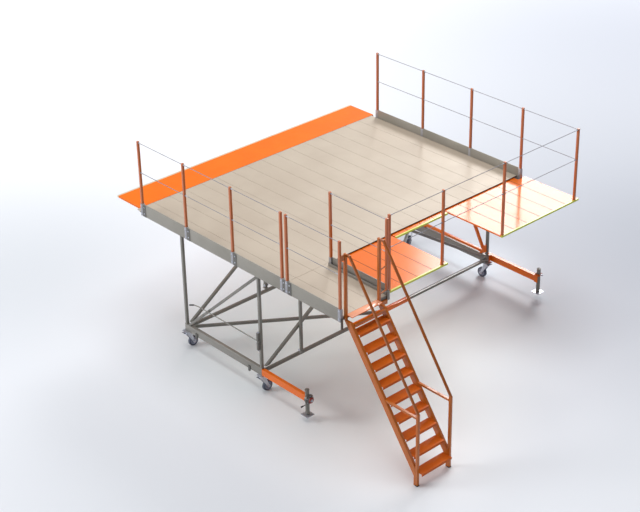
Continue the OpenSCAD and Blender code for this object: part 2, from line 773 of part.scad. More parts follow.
module jack_foot(i) {
    color("gray")
        translate([OUT_X[i], OUT_Y[i], LIFT[i]]) {
            translate([0, 0, pad_t]) cylinder(d = jack_d - 2 * jack_wall - 2 * fit, h = jack_l - 40);
            translate([-pad_s / 2, -pad_s / 2, 0]) cube([pad_s, pad_s, pad_t]);
        }
}
module jack_foot_near() { jack_foot(0); }
module jack_foot_far() { jack_foot(1); }

// Stairs
function nose_at(k) = [nose_x0 + k * run, deck_h - k * rise];
slope = [run, -rise] / norm([run, rise]);
across = [rise, run] / norm([run, rise]);       // square to the flight, up and outwards
line_in = nose_in + stringer_d / 2;                  // nosing line to stringer centre line
module stringer_outline() {
    top = nose_at(0) - across * line_in;
    low = nose_at(steps) - across * line_in;
    h = across * stringer_d / 2;
    intersection() {
        union() {
            polygon([top - slope * trim_over - h, top - slope * trim_over + h,
                     low + slope * 1.5 * trim_over + h, low + slope * 1.5 * trim_over - h]);
            translate([foot_x - 28, 0]) square([28, trim_over]);
        }
        translate([land_x, 0]) square([foot_x - land_x, edge_z]);
    }
}
module stair_stringers() {
    color("coral")
        for (y = [stair_y0, stair_y1])
            translate([0, y + stringer_t / 2, 0])
                rotate([90, 0, 0])
                    linear_extrude(stringer_t) stringer_outline();
}
module stair_treads() {
    y0 = stair_y0 + stringer_t / 2;
    y1 = stair_y1 - stringer_t / 2;
    color("orangered") {
        for (k = [1 : steps]) {
            n = nose_at(k);
            block([n.x - tread_d, y0, n.y - 4], [n.x, y1, n.y]);
            block([n.x - 4, y0, n.y - 36], [n.x, y1, n.y - 4]);
            block([n.x - tread_d, y0, n.y - 36], [n.x - tread_d + 4, y1, n.y - 4]);
        }
        block([land_x, y0, deck_h - 6], [nose_x0, y1, deck_h]);
    }
}
STAIR_Y = [stair_y0, stair_y1];
module stair_posts() {
    // Columns: low X, foot height, top height
    places = [[land_x, edge_z, hand_top_z], [foot_x, 0, bend_h]];
    color("coral")
        for (p = places)
            for (y = STAIR_Y)
                block([p[0], y - stair_post_s / 2, p[1]], [p[0] + stair_post_s, y + stair_post_s / 2, p[2]]);
}
module handrail_outline() {
    h = hand_s / 2;
    start = [land_x + stair_post_s, hand_top_z - h];
    bend = [hand_top_x, hand_top_z - h];
    way = [foot_x + stair_post_s / 2, bend_h] - bend;
    v = way / norm(way);
    n = [-v.y, v.x];
    mitre = (n + [0, 1]) / (1 + n.y);
    polygon([start + [0, h], bend + mitre * h, at_height(bend + n * h, v, bend_h),
             at_height(bend - n * h, v, bend_h), bend - mitre * h, start - [0, h]]);
}
module stair_handrails() {
    color("coral")
        for (y = STAIR_Y)
            translate([0, y + hand_s / 2, 0])
                rotate([90, 0, 0])
                    linear_extrude(hand_s) handrail_outline();
}
module stair_stays() {
    // Columns: height of a link between the right stair post and the fence
    rungs = [deck_h + 70, deck_h + link_h];
    post_y = stair_y1 + stair_post_s / 2;
    fence_y = landing_w - post_s / 2;
    side_y = max(stringer_t, stair_post_s) / 2;
    color("coral") {
        for (z = rungs)
            brace([land_x + 14, post_y, z], [land_x - 8, fence_y, z],
                  [land_x - 40, post_y, z - 20], [land_x + 40, fence_y, z + 20], 16, 14);
        // Clamp between the last left post and the left stair post, and the block beside the right one
        block([land_x + post_s / 2, -post_s / 2, hand_top_z - 85],
              [land_x + post_s / 2 + 10, stair_y0 - stair_post_s / 2, hand_top_z - 5]);
        block([land_x, stair_y1 + side_y, edge_z - 60], [land_x + 24, landing_w - socket_s / 2, edge_z]);
        block([nose_x0 + 20, stair_y0 + stringer_t / 2, edge_z - stay_s - 20],
              [nose_x0 + 20 + stay_s, stair_y1 - stringer_t / 2, edge_z - 20]);
        for (y = STAIR_Y)
            difference() {
                block([land_x, y - stay_s / 2, stay_h - stay_s / 2],
                      [foot_x, y + stay_s / 2, stay_h + stay_s / 2]);
                translate([0, y + stay_s, 0])
                    rotate([90, 0, 0])
                        linear_extrude(2 * stay_s)
                            polygon([nose_at(1) - across * nose_in, nose_at(steps) - across * nose_in,
                                     [0, 0], [0, deck_h]]);
            }
    }
}

// Pull bar in its bracket on the near rear leg
pull_y = leg_y - leg_s / 2 - 24;
pull_pin_x = rear_x - 4;
eye_h = 34;
// Where the side brace passes the bar
pull_rest_x = leg_x + leg_span * (pull_h - beam_z + 60) / (bolster_z - beam_z + 70);
module pull_bracket() {
    color("dimgray") {
        for (z = [pull_h - eye_h / 2 - 1 - bracket_h, pull_h + eye_h / 2 + 1])
            block([pull_pin_x - 16, pull_y - 18, z], [pull_pin_x + 16, leg_y - leg_s / 2, z + bracket_h]);
        translate([pull_pin_x, pull_y, pull_h - eye_h]) cylinder(r = pull_pin_r, h = 2 * eye_h);
        // Rest under the parked bar, on the near side brace
        block([pull_rest_x - 15, pull_y - pull_d / 2, pull_h - pull_d / 2 - 10],
              [pull_rest_x + 15, leg_y - brace_s / 2, pull_h - pull_d / 2 - seat]);
    }
}
module pull_bar() {
    bend = [pull_pin_x - pull_l, pull_y, pull_h];
    knee = bend - [cane_l / 2, 0, cane_drop / 4];
    color("gray")
        difference() {
            union() {
                rod(bend, [pull_pin_x, pull_y, pull_h], pull_d);
                for (p = [bend, knee]) translate(p) sphere(d = pull_d);
                rod(bend, knee, pull_d);
                rod(knee, bend - [cane_l, 0, cane_drop], pull_d);
                translate([pull_pin_x, pull_y, pull_h - eye_h / 2]) cylinder(r = 20, h = eye_h);
            }
            translate([pull_pin_x, pull_y, pull_h - eye_h]) cylinder(r = pull_pin_r + fit, h = 2 * eye_h);
        }
}

// Casters
plate_t = 10;
race_h = 16;
crown_z = beam_clear - plate_t - race_h - seat;
axle_z = wheel_d / 2;
fork_in = wheel_w / 2 + 5;
fork_t = 6;
TURN = [0, 0, 90, 205];         // how far each caster is swivelled
module at_caster(i) { translate([LEGS[i].x, LEGS[i].y, 0]) rotate([0, 0, TURN[i]]) children(); }
module caster_plates() {
    color("silver")
        for (p = LEGS)
            translate([p.x, p.y, 0]) {
                translate([-60, -60, beam_clear - plate_t]) cube([120, 120, plate_t]);
                translate([0, 0, beam_clear - plate_t - race_h]) cylinder(r = 40, h = race_h);
                translate([0, 0, crown_z - 26]) cylinder(r = 9, h = 26 + seat);
            }
}
module fork(i) {
    color("silver")
        at_caster(i) {
            difference() {
                translate([-fork_in - fork_t, -38, crown_z - 22]) cube([2 * (fork_in + fork_t), 76, 22]);
                translate([0, 0, crown_z - 23]) cylinder(r = 9 + fit, h = 24);
            }
            for (s = [-1, 1])
                translate([s > 0 ? fork_in : -fork_in - fork_t, 0, 0])
                    rotate([90, 0, 90])
                        linear_extrude(fork_t)
                            union() {
                                polygon([[-38, crown_z - 22], [38, crown_z - 22],
                                         [trail + 15, axle_z], [trail - 18, axle_z - 6]]);
                                translate([trail, axle_z]) circle(r = 18);
                            }
            rod([-fork_in - fork_t, trail, axle_z], [fork_in + fork_t, trail, axle_z], 2 * axle_r);
            // Brake pedal on the side away from the wheel
            translate([-42, 0, 0])
                rotate([90, 0, 90])
                    linear_extrude(84)
                        polygon([[-38, crown_z - 6], [-38, crown_z - 22], [-66, crown_z - 12],
                                 [-84, crown_z + 2], [-84, crown_z + 10], [-64, crown_z - 4]]);
        }
}
module hub(i) {
    color("dimgray")
        at_caster(i)
            translate([-wheel_w / 2, trail, axle_z])
                rotate([0, 90, 0])
                    difference() {
                        cylinder(r = wheel_d / 2 - 22, h = wheel_w);
                        translate([0, 0, -1]) cylinder(r = axle_r + fit, h = wheel_w + 2);
                    }
}
module tyre(i) {
    r = wheel_d / 2;
    c = 8;
    color("darkslategray")
        at_caster(i)
            translate([0, trail, axle_z])
                rotate([0, 90, 0])
                    rotate_extrude()
                        union() {
                            translate([r - 22, -wheel_w / 2]) square([22 - c, wheel_w]);
                            translate([r - 22, -wheel_w / 2 + c]) square([22, wheel_w - 2 * c]);
                            for (s = [-1, 1]) translate([r - c, s * (wheel_w / 2 - c)]) circle(r = c);
                        }
}

module place() { translate(-ORIGIN) children(); }

place() base_side_beams();
place() base_end_beams();
place() base_diagonals();
place() legs();
place() side_braces();
place() end_braces();
place() loose_struts();
place() lashing_lugs();
place() deck_bolsters();
place() deck_joists();
place() deck_girders();
place() deck_side_rails();
place() panel_webs();
place() slide_pads();
place() deck_planks();
place() landing_floor();
place() edge_plates();
place() landing_toe_board();
place() post_sockets();
place() post_brackets();
place() side_posts();
place() fence_posts();
place() panel_posts();
place() guard_rods();
place() near_panel();
place() far_panel();
place() panel_noses();
place() outriggers();
place() far_props();
place() jack_tubes();
place() jack_gears();
place() jack_caps();
place() stair_stringers();
place() stair_treads();
place() stair_posts();
place() stair_handrails();
place() stair_stays();
place() pull_bracket();
place() caster_plates();
place() flap_hinges();
place() bridge_flap();
place() flap_nose_strip();
place() flap_knuckles();
place() mid_panel();
place() mid_nose();
place() pull_bar();
place() jack_foot_near();
place() jack_foot_far();
place() fork(0);  // fork_1
place() fork(1);  // fork_2
place() fork(2);  // fork_3
place() fork(3);  // fork_4
place() hub(0);  // hub_1
place() hub(1);  // hub_2
place() hub(2);  // hub_3
place() hub(3);  // hub_4
place() tyre(0);  // tyre_1
place() tyre(1);  // tyre_2
place() tyre(2);  // tyre_3
place() tyre(3);  // tyre_4
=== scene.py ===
"""Studio picture of a mobile aircraft maintenance platform with stairs.

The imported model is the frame. Its nodes get their finish, and each class below dresses one
sub-assembly: it rounds the corners of its tubes and adds the small pieces that ride with them.
"""
import json
import logging
import math
from dataclasses import dataclass, replace
from enum import Enum
from typing import Iterable, Sequence

import bmesh
import bpy
from bpy.types import Material, Node, NodeSocket, NodeTree, Object
from mathutils import Matrix, Vector

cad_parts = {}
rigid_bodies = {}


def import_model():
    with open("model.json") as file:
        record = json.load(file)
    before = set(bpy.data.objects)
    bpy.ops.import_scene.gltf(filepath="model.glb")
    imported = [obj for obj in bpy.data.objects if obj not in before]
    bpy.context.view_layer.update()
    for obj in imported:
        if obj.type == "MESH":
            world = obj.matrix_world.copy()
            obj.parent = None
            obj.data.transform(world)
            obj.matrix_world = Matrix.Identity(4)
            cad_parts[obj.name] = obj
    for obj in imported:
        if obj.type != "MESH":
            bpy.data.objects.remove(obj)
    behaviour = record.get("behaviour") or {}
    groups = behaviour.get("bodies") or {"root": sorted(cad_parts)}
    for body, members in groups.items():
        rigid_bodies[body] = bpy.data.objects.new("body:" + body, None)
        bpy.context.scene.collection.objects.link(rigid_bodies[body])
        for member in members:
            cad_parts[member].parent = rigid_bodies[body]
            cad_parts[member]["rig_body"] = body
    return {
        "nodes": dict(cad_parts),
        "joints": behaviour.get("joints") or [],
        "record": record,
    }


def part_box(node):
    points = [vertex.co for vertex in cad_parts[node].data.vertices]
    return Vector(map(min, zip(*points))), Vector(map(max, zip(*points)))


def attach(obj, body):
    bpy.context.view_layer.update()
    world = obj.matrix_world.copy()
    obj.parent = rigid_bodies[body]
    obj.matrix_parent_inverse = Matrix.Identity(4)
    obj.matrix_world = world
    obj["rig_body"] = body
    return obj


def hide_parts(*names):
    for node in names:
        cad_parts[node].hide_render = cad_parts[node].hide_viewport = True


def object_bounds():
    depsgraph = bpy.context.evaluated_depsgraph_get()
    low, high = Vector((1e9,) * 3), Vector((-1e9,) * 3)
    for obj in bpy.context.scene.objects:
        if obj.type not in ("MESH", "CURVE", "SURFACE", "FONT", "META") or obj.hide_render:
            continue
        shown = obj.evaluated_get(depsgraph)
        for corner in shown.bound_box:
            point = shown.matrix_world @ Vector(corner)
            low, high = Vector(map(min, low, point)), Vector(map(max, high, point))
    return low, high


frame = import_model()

LOG = logging.getLogger("platform")
CAD_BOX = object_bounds()
MM = 0.001
X_AXIS = Vector((1.0, 0.0, 0.0))
Y_AXIS = Vector((0.0, 1.0, 0.0))
Z_AXIS = Vector((0.0, 0.0, 1.0))
# Parts the near side of the platform from its far side
MIDDLE_Y = (CAD_BOX[0][1] + CAD_BOX[1][1]) / 2
# Edges that turn further are rounded, or shaded crisp. Faces that turn less are one flat face.
ROUND_ANGLE = math.radians(40)
CRISP_ANGLE = math.radians(35)
FLAT_ANGLE = math.radians(0.5)
WELD_GAP = 0.01 * MM
# The rounding of a thin sheet, as a share of its height
THIN_SOFT = 0.4
# Where a pair of screws or bolts sits along its part
QUARTERS = (0.25, 0.75)
Pair = tuple[float, float]
Triple = tuple[float, float, float]


def linear(colour: str) -> tuple[float, float, float, float]:
    """Turns six hex digits of sRGB into linear red, green and blue, with an alpha of 1."""
    digits = colour.lstrip("#")
    parts = [int(digits[i:i + 2], 16) / 255 for i in (0, 2, 4)]
    lit = [p / 12.92 if p <= 0.04045 else ((p + 0.055) / 1.055) ** 2.4 for p in parts]
    return (*lit, 1.0)


def add_node(tree: NodeTree, kind: str, settings: dict | None = None,
             inputs: dict | None = None) -> Node:
    """Adds one shader node with its settings and its inputs.

    Args:
        tree: The node tree that gets the node.
        kind: Blender's type name of the node.
        settings: Attribute names and their values.
        inputs: Socket names or numbers, each with a value or with the output socket that feeds it.

    Returns:
        The new node.
    """
    node = tree.nodes.new(kind)
    for name, value in (settings or {}).items():
        setattr(node, name, value)
    for name, value in (inputs or {}).items():
        if isinstance(value, NodeSocket):
            tree.links.new(value, node.inputs[name])
        else:
            node.inputs[name].default_value = value
    return node


def emptied(owner: Material | bpy.types.World) -> NodeTree:
    """Returns the emptied node tree of a material or a world."""
    owner.use_nodes = True
    owner.node_tree.nodes.clear()
    return owner.node_tree


def placed(name: str, data: bpy.types.ID) -> Object:
    """Returns a new object of the scene, made of a mesh, light or camera."""
    made = bpy.data.objects.new(name, data)
    bpy.context.scene.collection.objects.link(made)
    return made


class Grain(Enum):
    """How the surface of a finish was made, which decides its bump."""

    SPRAYED = "sprayed"
    RIBBED = "ribbed"
    DRAWN_X = "drawn along X"
    DRAWN_Z = "drawn along Z"
    CAST = "cast"
    MOULDED = "moulded"


# Drawn metal has its grain pulled out fifty times along one axis
STRETCH = {Grain.DRAWN_X: (0.02, 1.0, 1.0), Grain.DRAWN_Z: (1.0, 1.0, 0.02)}
# Detail of the bump noise, where it isn't the usual 2.5
DETAIL = {Grain.CAST: 6.0, Grain.MOULDED: 1.0}
# A wave texture of scale 1 repeats after this many metres
WAVE_LENGTH = 0.314
# Smears of roughness are this much finer than the blotches of colour
SMEAR_PACE = 3.1
# No finish gets smoother than this
LEAST_ROUGHNESS = 0.03


@dataclass(frozen=True)
class Finish:
    """One surface finish, built as a node material when it is first asked for.

    The two colours are mixed by a slow noise, so that no surface is one flat tone.
    """

    name: str
    slot: str
    colour: str
    second: str
    grain: Grain
    roughness: float
    metallic: float = 0.0
    specular: float = 0.5
    coat: float = 0.0
    coat_roughness: float = 0.08
    blotch_mm: float = 400.0
    grain_mm: float = 3.0
    bump_mm: float = 0.05
    rough_swing: float = 0.06

    def material(self) -> Material:
        """Returns this finish's material, and builds it on the first call."""
        ready = bpy.data.materials.get(self.name)
        if ready:
            return ready
        made = bpy.data.materials.new(self.name)
        tree = emptied(made)
        place = add_node(tree, "ShaderNodeTexCoord").outputs["Object"]
        shader = add_node(tree, "ShaderNodeBsdfPrincipled", inputs={
            "Metallic": self.metallic, "Specular IOR Level": self.specular,
            "Coat Weight": self.coat, "Coat Roughness": self.coat_roughness})
        self._tint(tree, place, shader)
        self._relief(tree, place, shader)
        add_node(tree, "ShaderNodeOutputMaterial", inputs={"Surface": shader.outputs[0]})
        return made

    def _tint(self, tree: NodeTree, place: NodeSocket,
              shader: Node) -> None:
        """Feeds the shader's colour and roughness with slow, faint variation."""
        blotch = add_node(tree, "ShaderNodeTexNoise", inputs={
            "Vector": place, "Scale": 1 / (self.blotch_mm * MM), "Detail": 5.0, "Roughness": 0.6})
        fade = add_node(tree, "ShaderNodeMapRange", inputs={
            "Value": blotch.outputs["Fac"], "From Min": 0.35, "From Max": 0.65})
        mix = add_node(tree, "ShaderNodeMix", {"data_type": "RGBA"}, {
            "Factor": fade.outputs[0], 6: linear(self.colour), 7: linear(self.second)})
        tree.links.new(mix.outputs[2], shader.inputs["Base Color"])
        smear = add_node(tree, "ShaderNodeTexNoise", inputs={
            "Vector": place, "Scale": SMEAR_PACE / (self.blotch_mm * MM),
            "Detail": 6.0, "Roughness": 0.7})
        rough = add_node(tree, "ShaderNodeMapRange", inputs={
            "Value": smear.outputs["Fac"], "From Min": 0.3, "From Max": 0.7,
            "To Min": max(LEAST_ROUGHNESS, self.roughness - self.rough_swing),
            "To Max": self.roughness + self.rough_swing})
        tree.links.new(rough.outputs[0], shader.inputs["Roughness"])

    def _relief(self, tree: NodeTree, place: NodeSocket,
                shader: Node) -> None:
        """Feeds the shader's normal with the grain that the surface was made with."""
        height = self._height(tree, place)
        bump = add_node(tree, "ShaderNodeBump", inputs={
            "Height": height, "Distance": self.bump_mm * MM, "Strength": 1.0})
        tree.links.new(bump.outputs[0], shader.inputs["Normal"])

    def _height(self, tree: NodeTree, place: NodeSocket) -> NodeSocket:
        """Returns the height pattern of this finish's grain."""
        per_m = 1 / (self.grain_mm * MM)
        if self.grain is Grain.RIBBED:
            ribs = add_node(tree, "ShaderNodeTexWave", {"bands_direction": "Y", "wave_profile": "SIN"}, {
                "Vector": place, "Scale": per_m * WAVE_LENGTH, "Distortion": 0.0, "Detail": 0.0})
            return ribs.outputs["Fac"]
        stretch = STRETCH.get(self.grain, (1.0, 1.0, 1.0))
        pull = add_node(tree, "ShaderNodeMapping", inputs={"Vector": place, "Scale": stretch})
        noise = add_node(tree, "ShaderNodeTexNoise", inputs={
            "Vector": pull.outputs[0], "Scale": per_m, "Detail": DETAIL.get(self.grain, 2.5),
            "Roughness": 0.55})
        return noise.outputs["Fac"]


# Stoved grey enamel on welded square tube: even, half gloss
GREY_ENAMEL = Finish("grey_enamel", "grey_paint", "#6f6c65", "#79766f", Grain.SPRAYED, 0.34, coat=0.35)
# The same enamel on the base's side beams, painted lighter than on the rest: painted light on their lit
# outer faces
LIT_BEAM_ENAMEL = replace(GREY_ENAMEL, name="lit_beam_grey_enamel", colour="#7f7b74", second="#87837c")
# The same enamel a shade darker, on brackets, lugs and gear housings. On the thin plates beside the post
# sockets its dark colour is painted shade, for the shaded strip beside each socket
DARK_ENAMEL_AND_SHADE = Finish("dark_enamel_and_painted_shade", "dark_grey_paint", "#55524e", "#605d57", Grain.SPRAYED, 0.36,
    coat=0.3)
# The toe board by the landing, in the same enamel painted a lighter grey
LIGHTER_GREY_ENAMEL = replace(DARK_ENAMEL_AND_SHADE, name="lighter_grey_enamel", colour="#7d7871", second="#86817a")
# Gloss orange powder coat: a wet clear layer that takes the sky
ORANGE_COAT = Finish("orange_powder_coat", "orange_paint", "#eb6f03", "#e66a02", Grain.SPRAYED, 0.45,
    specular=0.1, coat=0.78, coat_roughness=0.13, bump_mm=0.01)
# The same colour on the front flap, duller so that it stays a full orange
FLAP_COAT = replace(ORANGE_COAT, name="flap_powder_coat", roughness=0.5, coat=0.35, coat_roughness=0.2)
# The cover sheet at the head of the stairs, painted pale salmon: a painted sheen over the stairs' orange
SALMON_SHEEN_COAT = Finish("salmon_sheen_coat", "orange_paint", "#f3a780", "#ed9d76", Grain.SPRAYED, 0.4,
    specular=0.3, coat=0.7, coat_roughness=0.13, bump_mm=0.01)
# Red-brown orange powder coat of the guard posts
TERRACOTTA_COAT = Finish("terracotta_powder_coat", "terracotta_paint", "#c26834", "#bc612e",
    Grain.SPRAYED, 0.36, specular=0.3, coat=0.6, coat_roughness=0.12, bump_mm=0.02)
# The coat of the stair's tubes, glossier and browner, so that their tops catch the light
STAIR_COAT = Finish("stair_powder_coat", "terracotta_paint", "#bf6408", "#b45a05", Grain.SPRAYED, 0.34,
    specular=0.2, coat=0.7, coat_roughness=0.1, bump_mm=0.01)
# The handrails of the stairs, painted darker and browner than the other stair tubes: painted shade of
# their shaded sides
SHADED_HANDRAIL_COAT = replace(STAIR_COAT, name="shaded_handrail_coat", colour="#a45406", second="#984b04",
    coat=0.8)
# The stair treads: a duller coat that feet have polished in places
TREAD_COAT = Finish("tread_powder_coat", "tread_paint", "#cc6009", "#c15706", Grain.SPRAYED, 0.5,
    specular=0.2, coat=0.1, coat_roughness=0.3, blotch_mm=160.0)
# Red hammer enamel on the cap of the jack's gear
RED_ENAMEL = Finish("red_enamel", "red_paint", "#922114", "#811a0e", Grain.SPRAYED, 0.32, coat=0.5)
# Extruded aluminium plank with fine anti-slip ribs, drawn at 12 mm so that they show
RIBBED_PLANK = Finish("ribbed_aluminium_plank", "deck_plank", "#bbad9c", "#b3a493", Grain.RIBBED, 0.42,
    metallic=0.1, specular=0.3, coat=0.06, coat_roughness=0.35, blotch_mm=900.0,
    grain_mm=12.0, bump_mm=0.12)
# Rolled aluminium sheet of the edge plates
PLATE_ALUMINIUM = Finish("rolled_aluminium_plate", "grey_plate", "#908c82", "#98938a", Grain.DRAWN_X,
    0.38, metallic=0.2, grain_mm=4.0, bump_mm=0.03)
# Yellow-green paint on the panel noses
YELLOW_PAINT = Finish("yellow_edge_paint", "yellow_edge", "#cccf36", "#c2c72c", Grain.SPRAYED, 0.35,
    coat=0.4)
# Pale bare edge of the front flap
PALE_EDGE = Finish("pale_bare_edge", "pale_edge", "#d8c9ad", "#cfbf9f", Grain.DRAWN_X, 0.35,
    metallic=0.2)
# Bright drawn aluminium: post sockets and the fittings of the rods
BRIGHT_METAL = Finish("bright_drawn_aluminium", "bright_metal", "#a9a8ad", "#9f9ea4", Grain.DRAWN_Z, 0.4,
    metallic=0.6, grain_mm=1.5, bump_mm=0.004, blotch_mm=300.0)
# The rods, dulled by weather: they show grey against the floor
ROD_METAL = Finish("weathered_drawn_aluminium", "bright_metal", "#8d8b90", "#848288", Grain.DRAWN_Z, 0.5,
    metallic=0.4, specular=0.3, bump_mm=0.0, blotch_mm=300.0)
# Zinc plated pressed steel: bright, slightly mottled
ZINC_STEEL = Finish("zinc_plated_steel", "zinc_steel", "#d3d6df", "#c3c6d0", Grain.SPRAYED, 0.3,
    metallic=0.75, blotch_mm=25.0, bump_mm=0.02)
# Acetal slide pads and the other black mouldings; the same black also paints the shade strip along the
# deck's rear edge
SLIDE_PLASTIC = Finish("acetal_slide_pad", "slide_plastic", "#1a1a1a", "#212121", Grain.MOULDED, 0.5)
# Brown mastic in the joints between the panels' planks
JOINT_MASTIC = Finish("joint_mastic", "slide_plastic", "#6b3413", "#5f2d10", Grain.MOULDED, 0.6,
    specular=0.2, bump_mm=0.0)
# Cast wheel centre, enamelled blue-grey
CAST_WHEEL = Finish("cast_wheel_enamel", "wheel_core", "#8a8d9e", "#7c7f90", Grain.CAST, 0.45, coat=0.2,
    blotch_mm=60.0, grain_mm=2.0, bump_mm=0.15)
# Polyurethane tread of the casters
WHEEL_TREAD = Finish("polyurethane_tread", "wheel_tread", "#4b5163", "#414757", Grain.MOULDED, 0.55,
    blotch_mm=60.0, bump_mm=0.08)

# The usual finish of each material slot, and the nodes that wear another one
BY_SLOT = {finish.slot: finish for finish in (
    GREY_ENAMEL, DARK_ENAMEL_AND_SHADE, ORANGE_COAT, TERRACOTTA_COAT, TREAD_COAT, RED_ENAMEL, RIBBED_PLANK,
    PLATE_ALUMINIUM, YELLOW_PAINT, PALE_EDGE, BRIGHT_METAL, ZINC_STEEL, SLIDE_PLASTIC, CAST_WHEEL,
    WHEEL_TREAD)}
# Some of these are copies that differ only in tone: the side beams' lighter enamel is painted light, the
# handrails' darker coat painted shade
BY_NODE = {
    "stair_stringers": STAIR_COAT, "stair_handrails": SHADED_HANDRAIL_COAT, "stair_posts": STAIR_COAT,
    "stair_stays": STAIR_COAT, "guard_rods": ROD_METAL, "landing_toe_board": LIGHTER_GREY_ENAMEL,
    "base_side_beams": LIT_BEAM_ENAMEL, "bridge_flap": FLAP_COAT}
SLOT_OF = {row["node"]: row["material_slot"] for row in frame["record"]["subparts"]}


@dataclass(frozen=True)
class Block:
    """The box that one solid of a node fills."""

    low: Vector
    high: Vector

    @property
    def middle(self) -> Vector:
        """The centre of the box."""
        return (self.low + self.high) / 2

    @property
    def size(self) -> Vector:
        """The lengths of the box's sides."""
        return self.high - self.low

    def at(self, *shares: float) -> Vector:
        """Returns the point at these shares of X, Y and Z, counted from the low corner."""
        return Vector([a * (1 - s) + b * s for a, b, s in zip(self.low, self.high, shares)])

    def outward(self) -> tuple[Vector, float]:
        """Returns the way out of the platform from this box, and its outer face's share of Y."""
        return (-Y_AXIS, 0.0) if self.middle.y < MIDDLE_Y else (Y_AXIS, 1.0)


@dataclass(frozen=True)
class Profile:
    """A turned or many-sided part: the radii of its ends, its length, sides and rim rounding."""

    first: float
    last: float
    length: float
    sides: int = 10
    soft: float = 0.0


def finish_of(node: str) -> Finish:
    """Returns the finish that a CAD node wears."""
    return BY_NODE.get(node, BY_SLOT[SLOT_OF[node]])


def merged(node: str) -> bmesh.types.BMesh:
    """Returns a copy of a node's mesh with closed, plain flat faces, which the caller frees."""
    bm = bmesh.new()
    bm.from_mesh(frame["nodes"][node].data)
    bmesh.ops.remove_doubles(bm, verts=bm.verts[:], dist=WELD_GAP)
    bmesh.ops.dissolve_limit(bm, angle_limit=FLAT_ANGLE, verts=bm.verts[:], edges=bm.edges[:])
    return bm


def solids(node: str) -> list[Block]:
    """Finds the boxes of a node's separate solids.

    Args:
        node: The name of the CAD node.

    Returns:
        One box for each solid, in the order of X, then Y, then Z.
    """
    bm = merged(node)
    bm.verts.ensure_lookup_table()
    seen: set[int] = set()
    found = []
    for first in bm.verts:
        if first.index in seen:
            continue
        group = [first]
        seen.add(first.index)
        for vert in group:
            for edge in vert.link_edges:
                other = edge.other_vert(vert)
                if other.index not in seen:
                    seen.add(other.index)
                    group.append(other)
        columns = list(zip(*(v.co for v in group)))
        found.append(Block(Vector([min(c) for c in columns]), Vector([max(c) for c in columns])))
    bm.free()
    return sorted(found, key=lambda b: tuple(round(v, 4) for v in b.middle))


def turned(place: Vector, axis: Vector) -> Matrix:
    """Returns the transform that puts local Z along an axis, at a place."""
    return Matrix.Translation(place) @ axis.to_track_quat("Z", "Y").to_matrix().to_4x4()


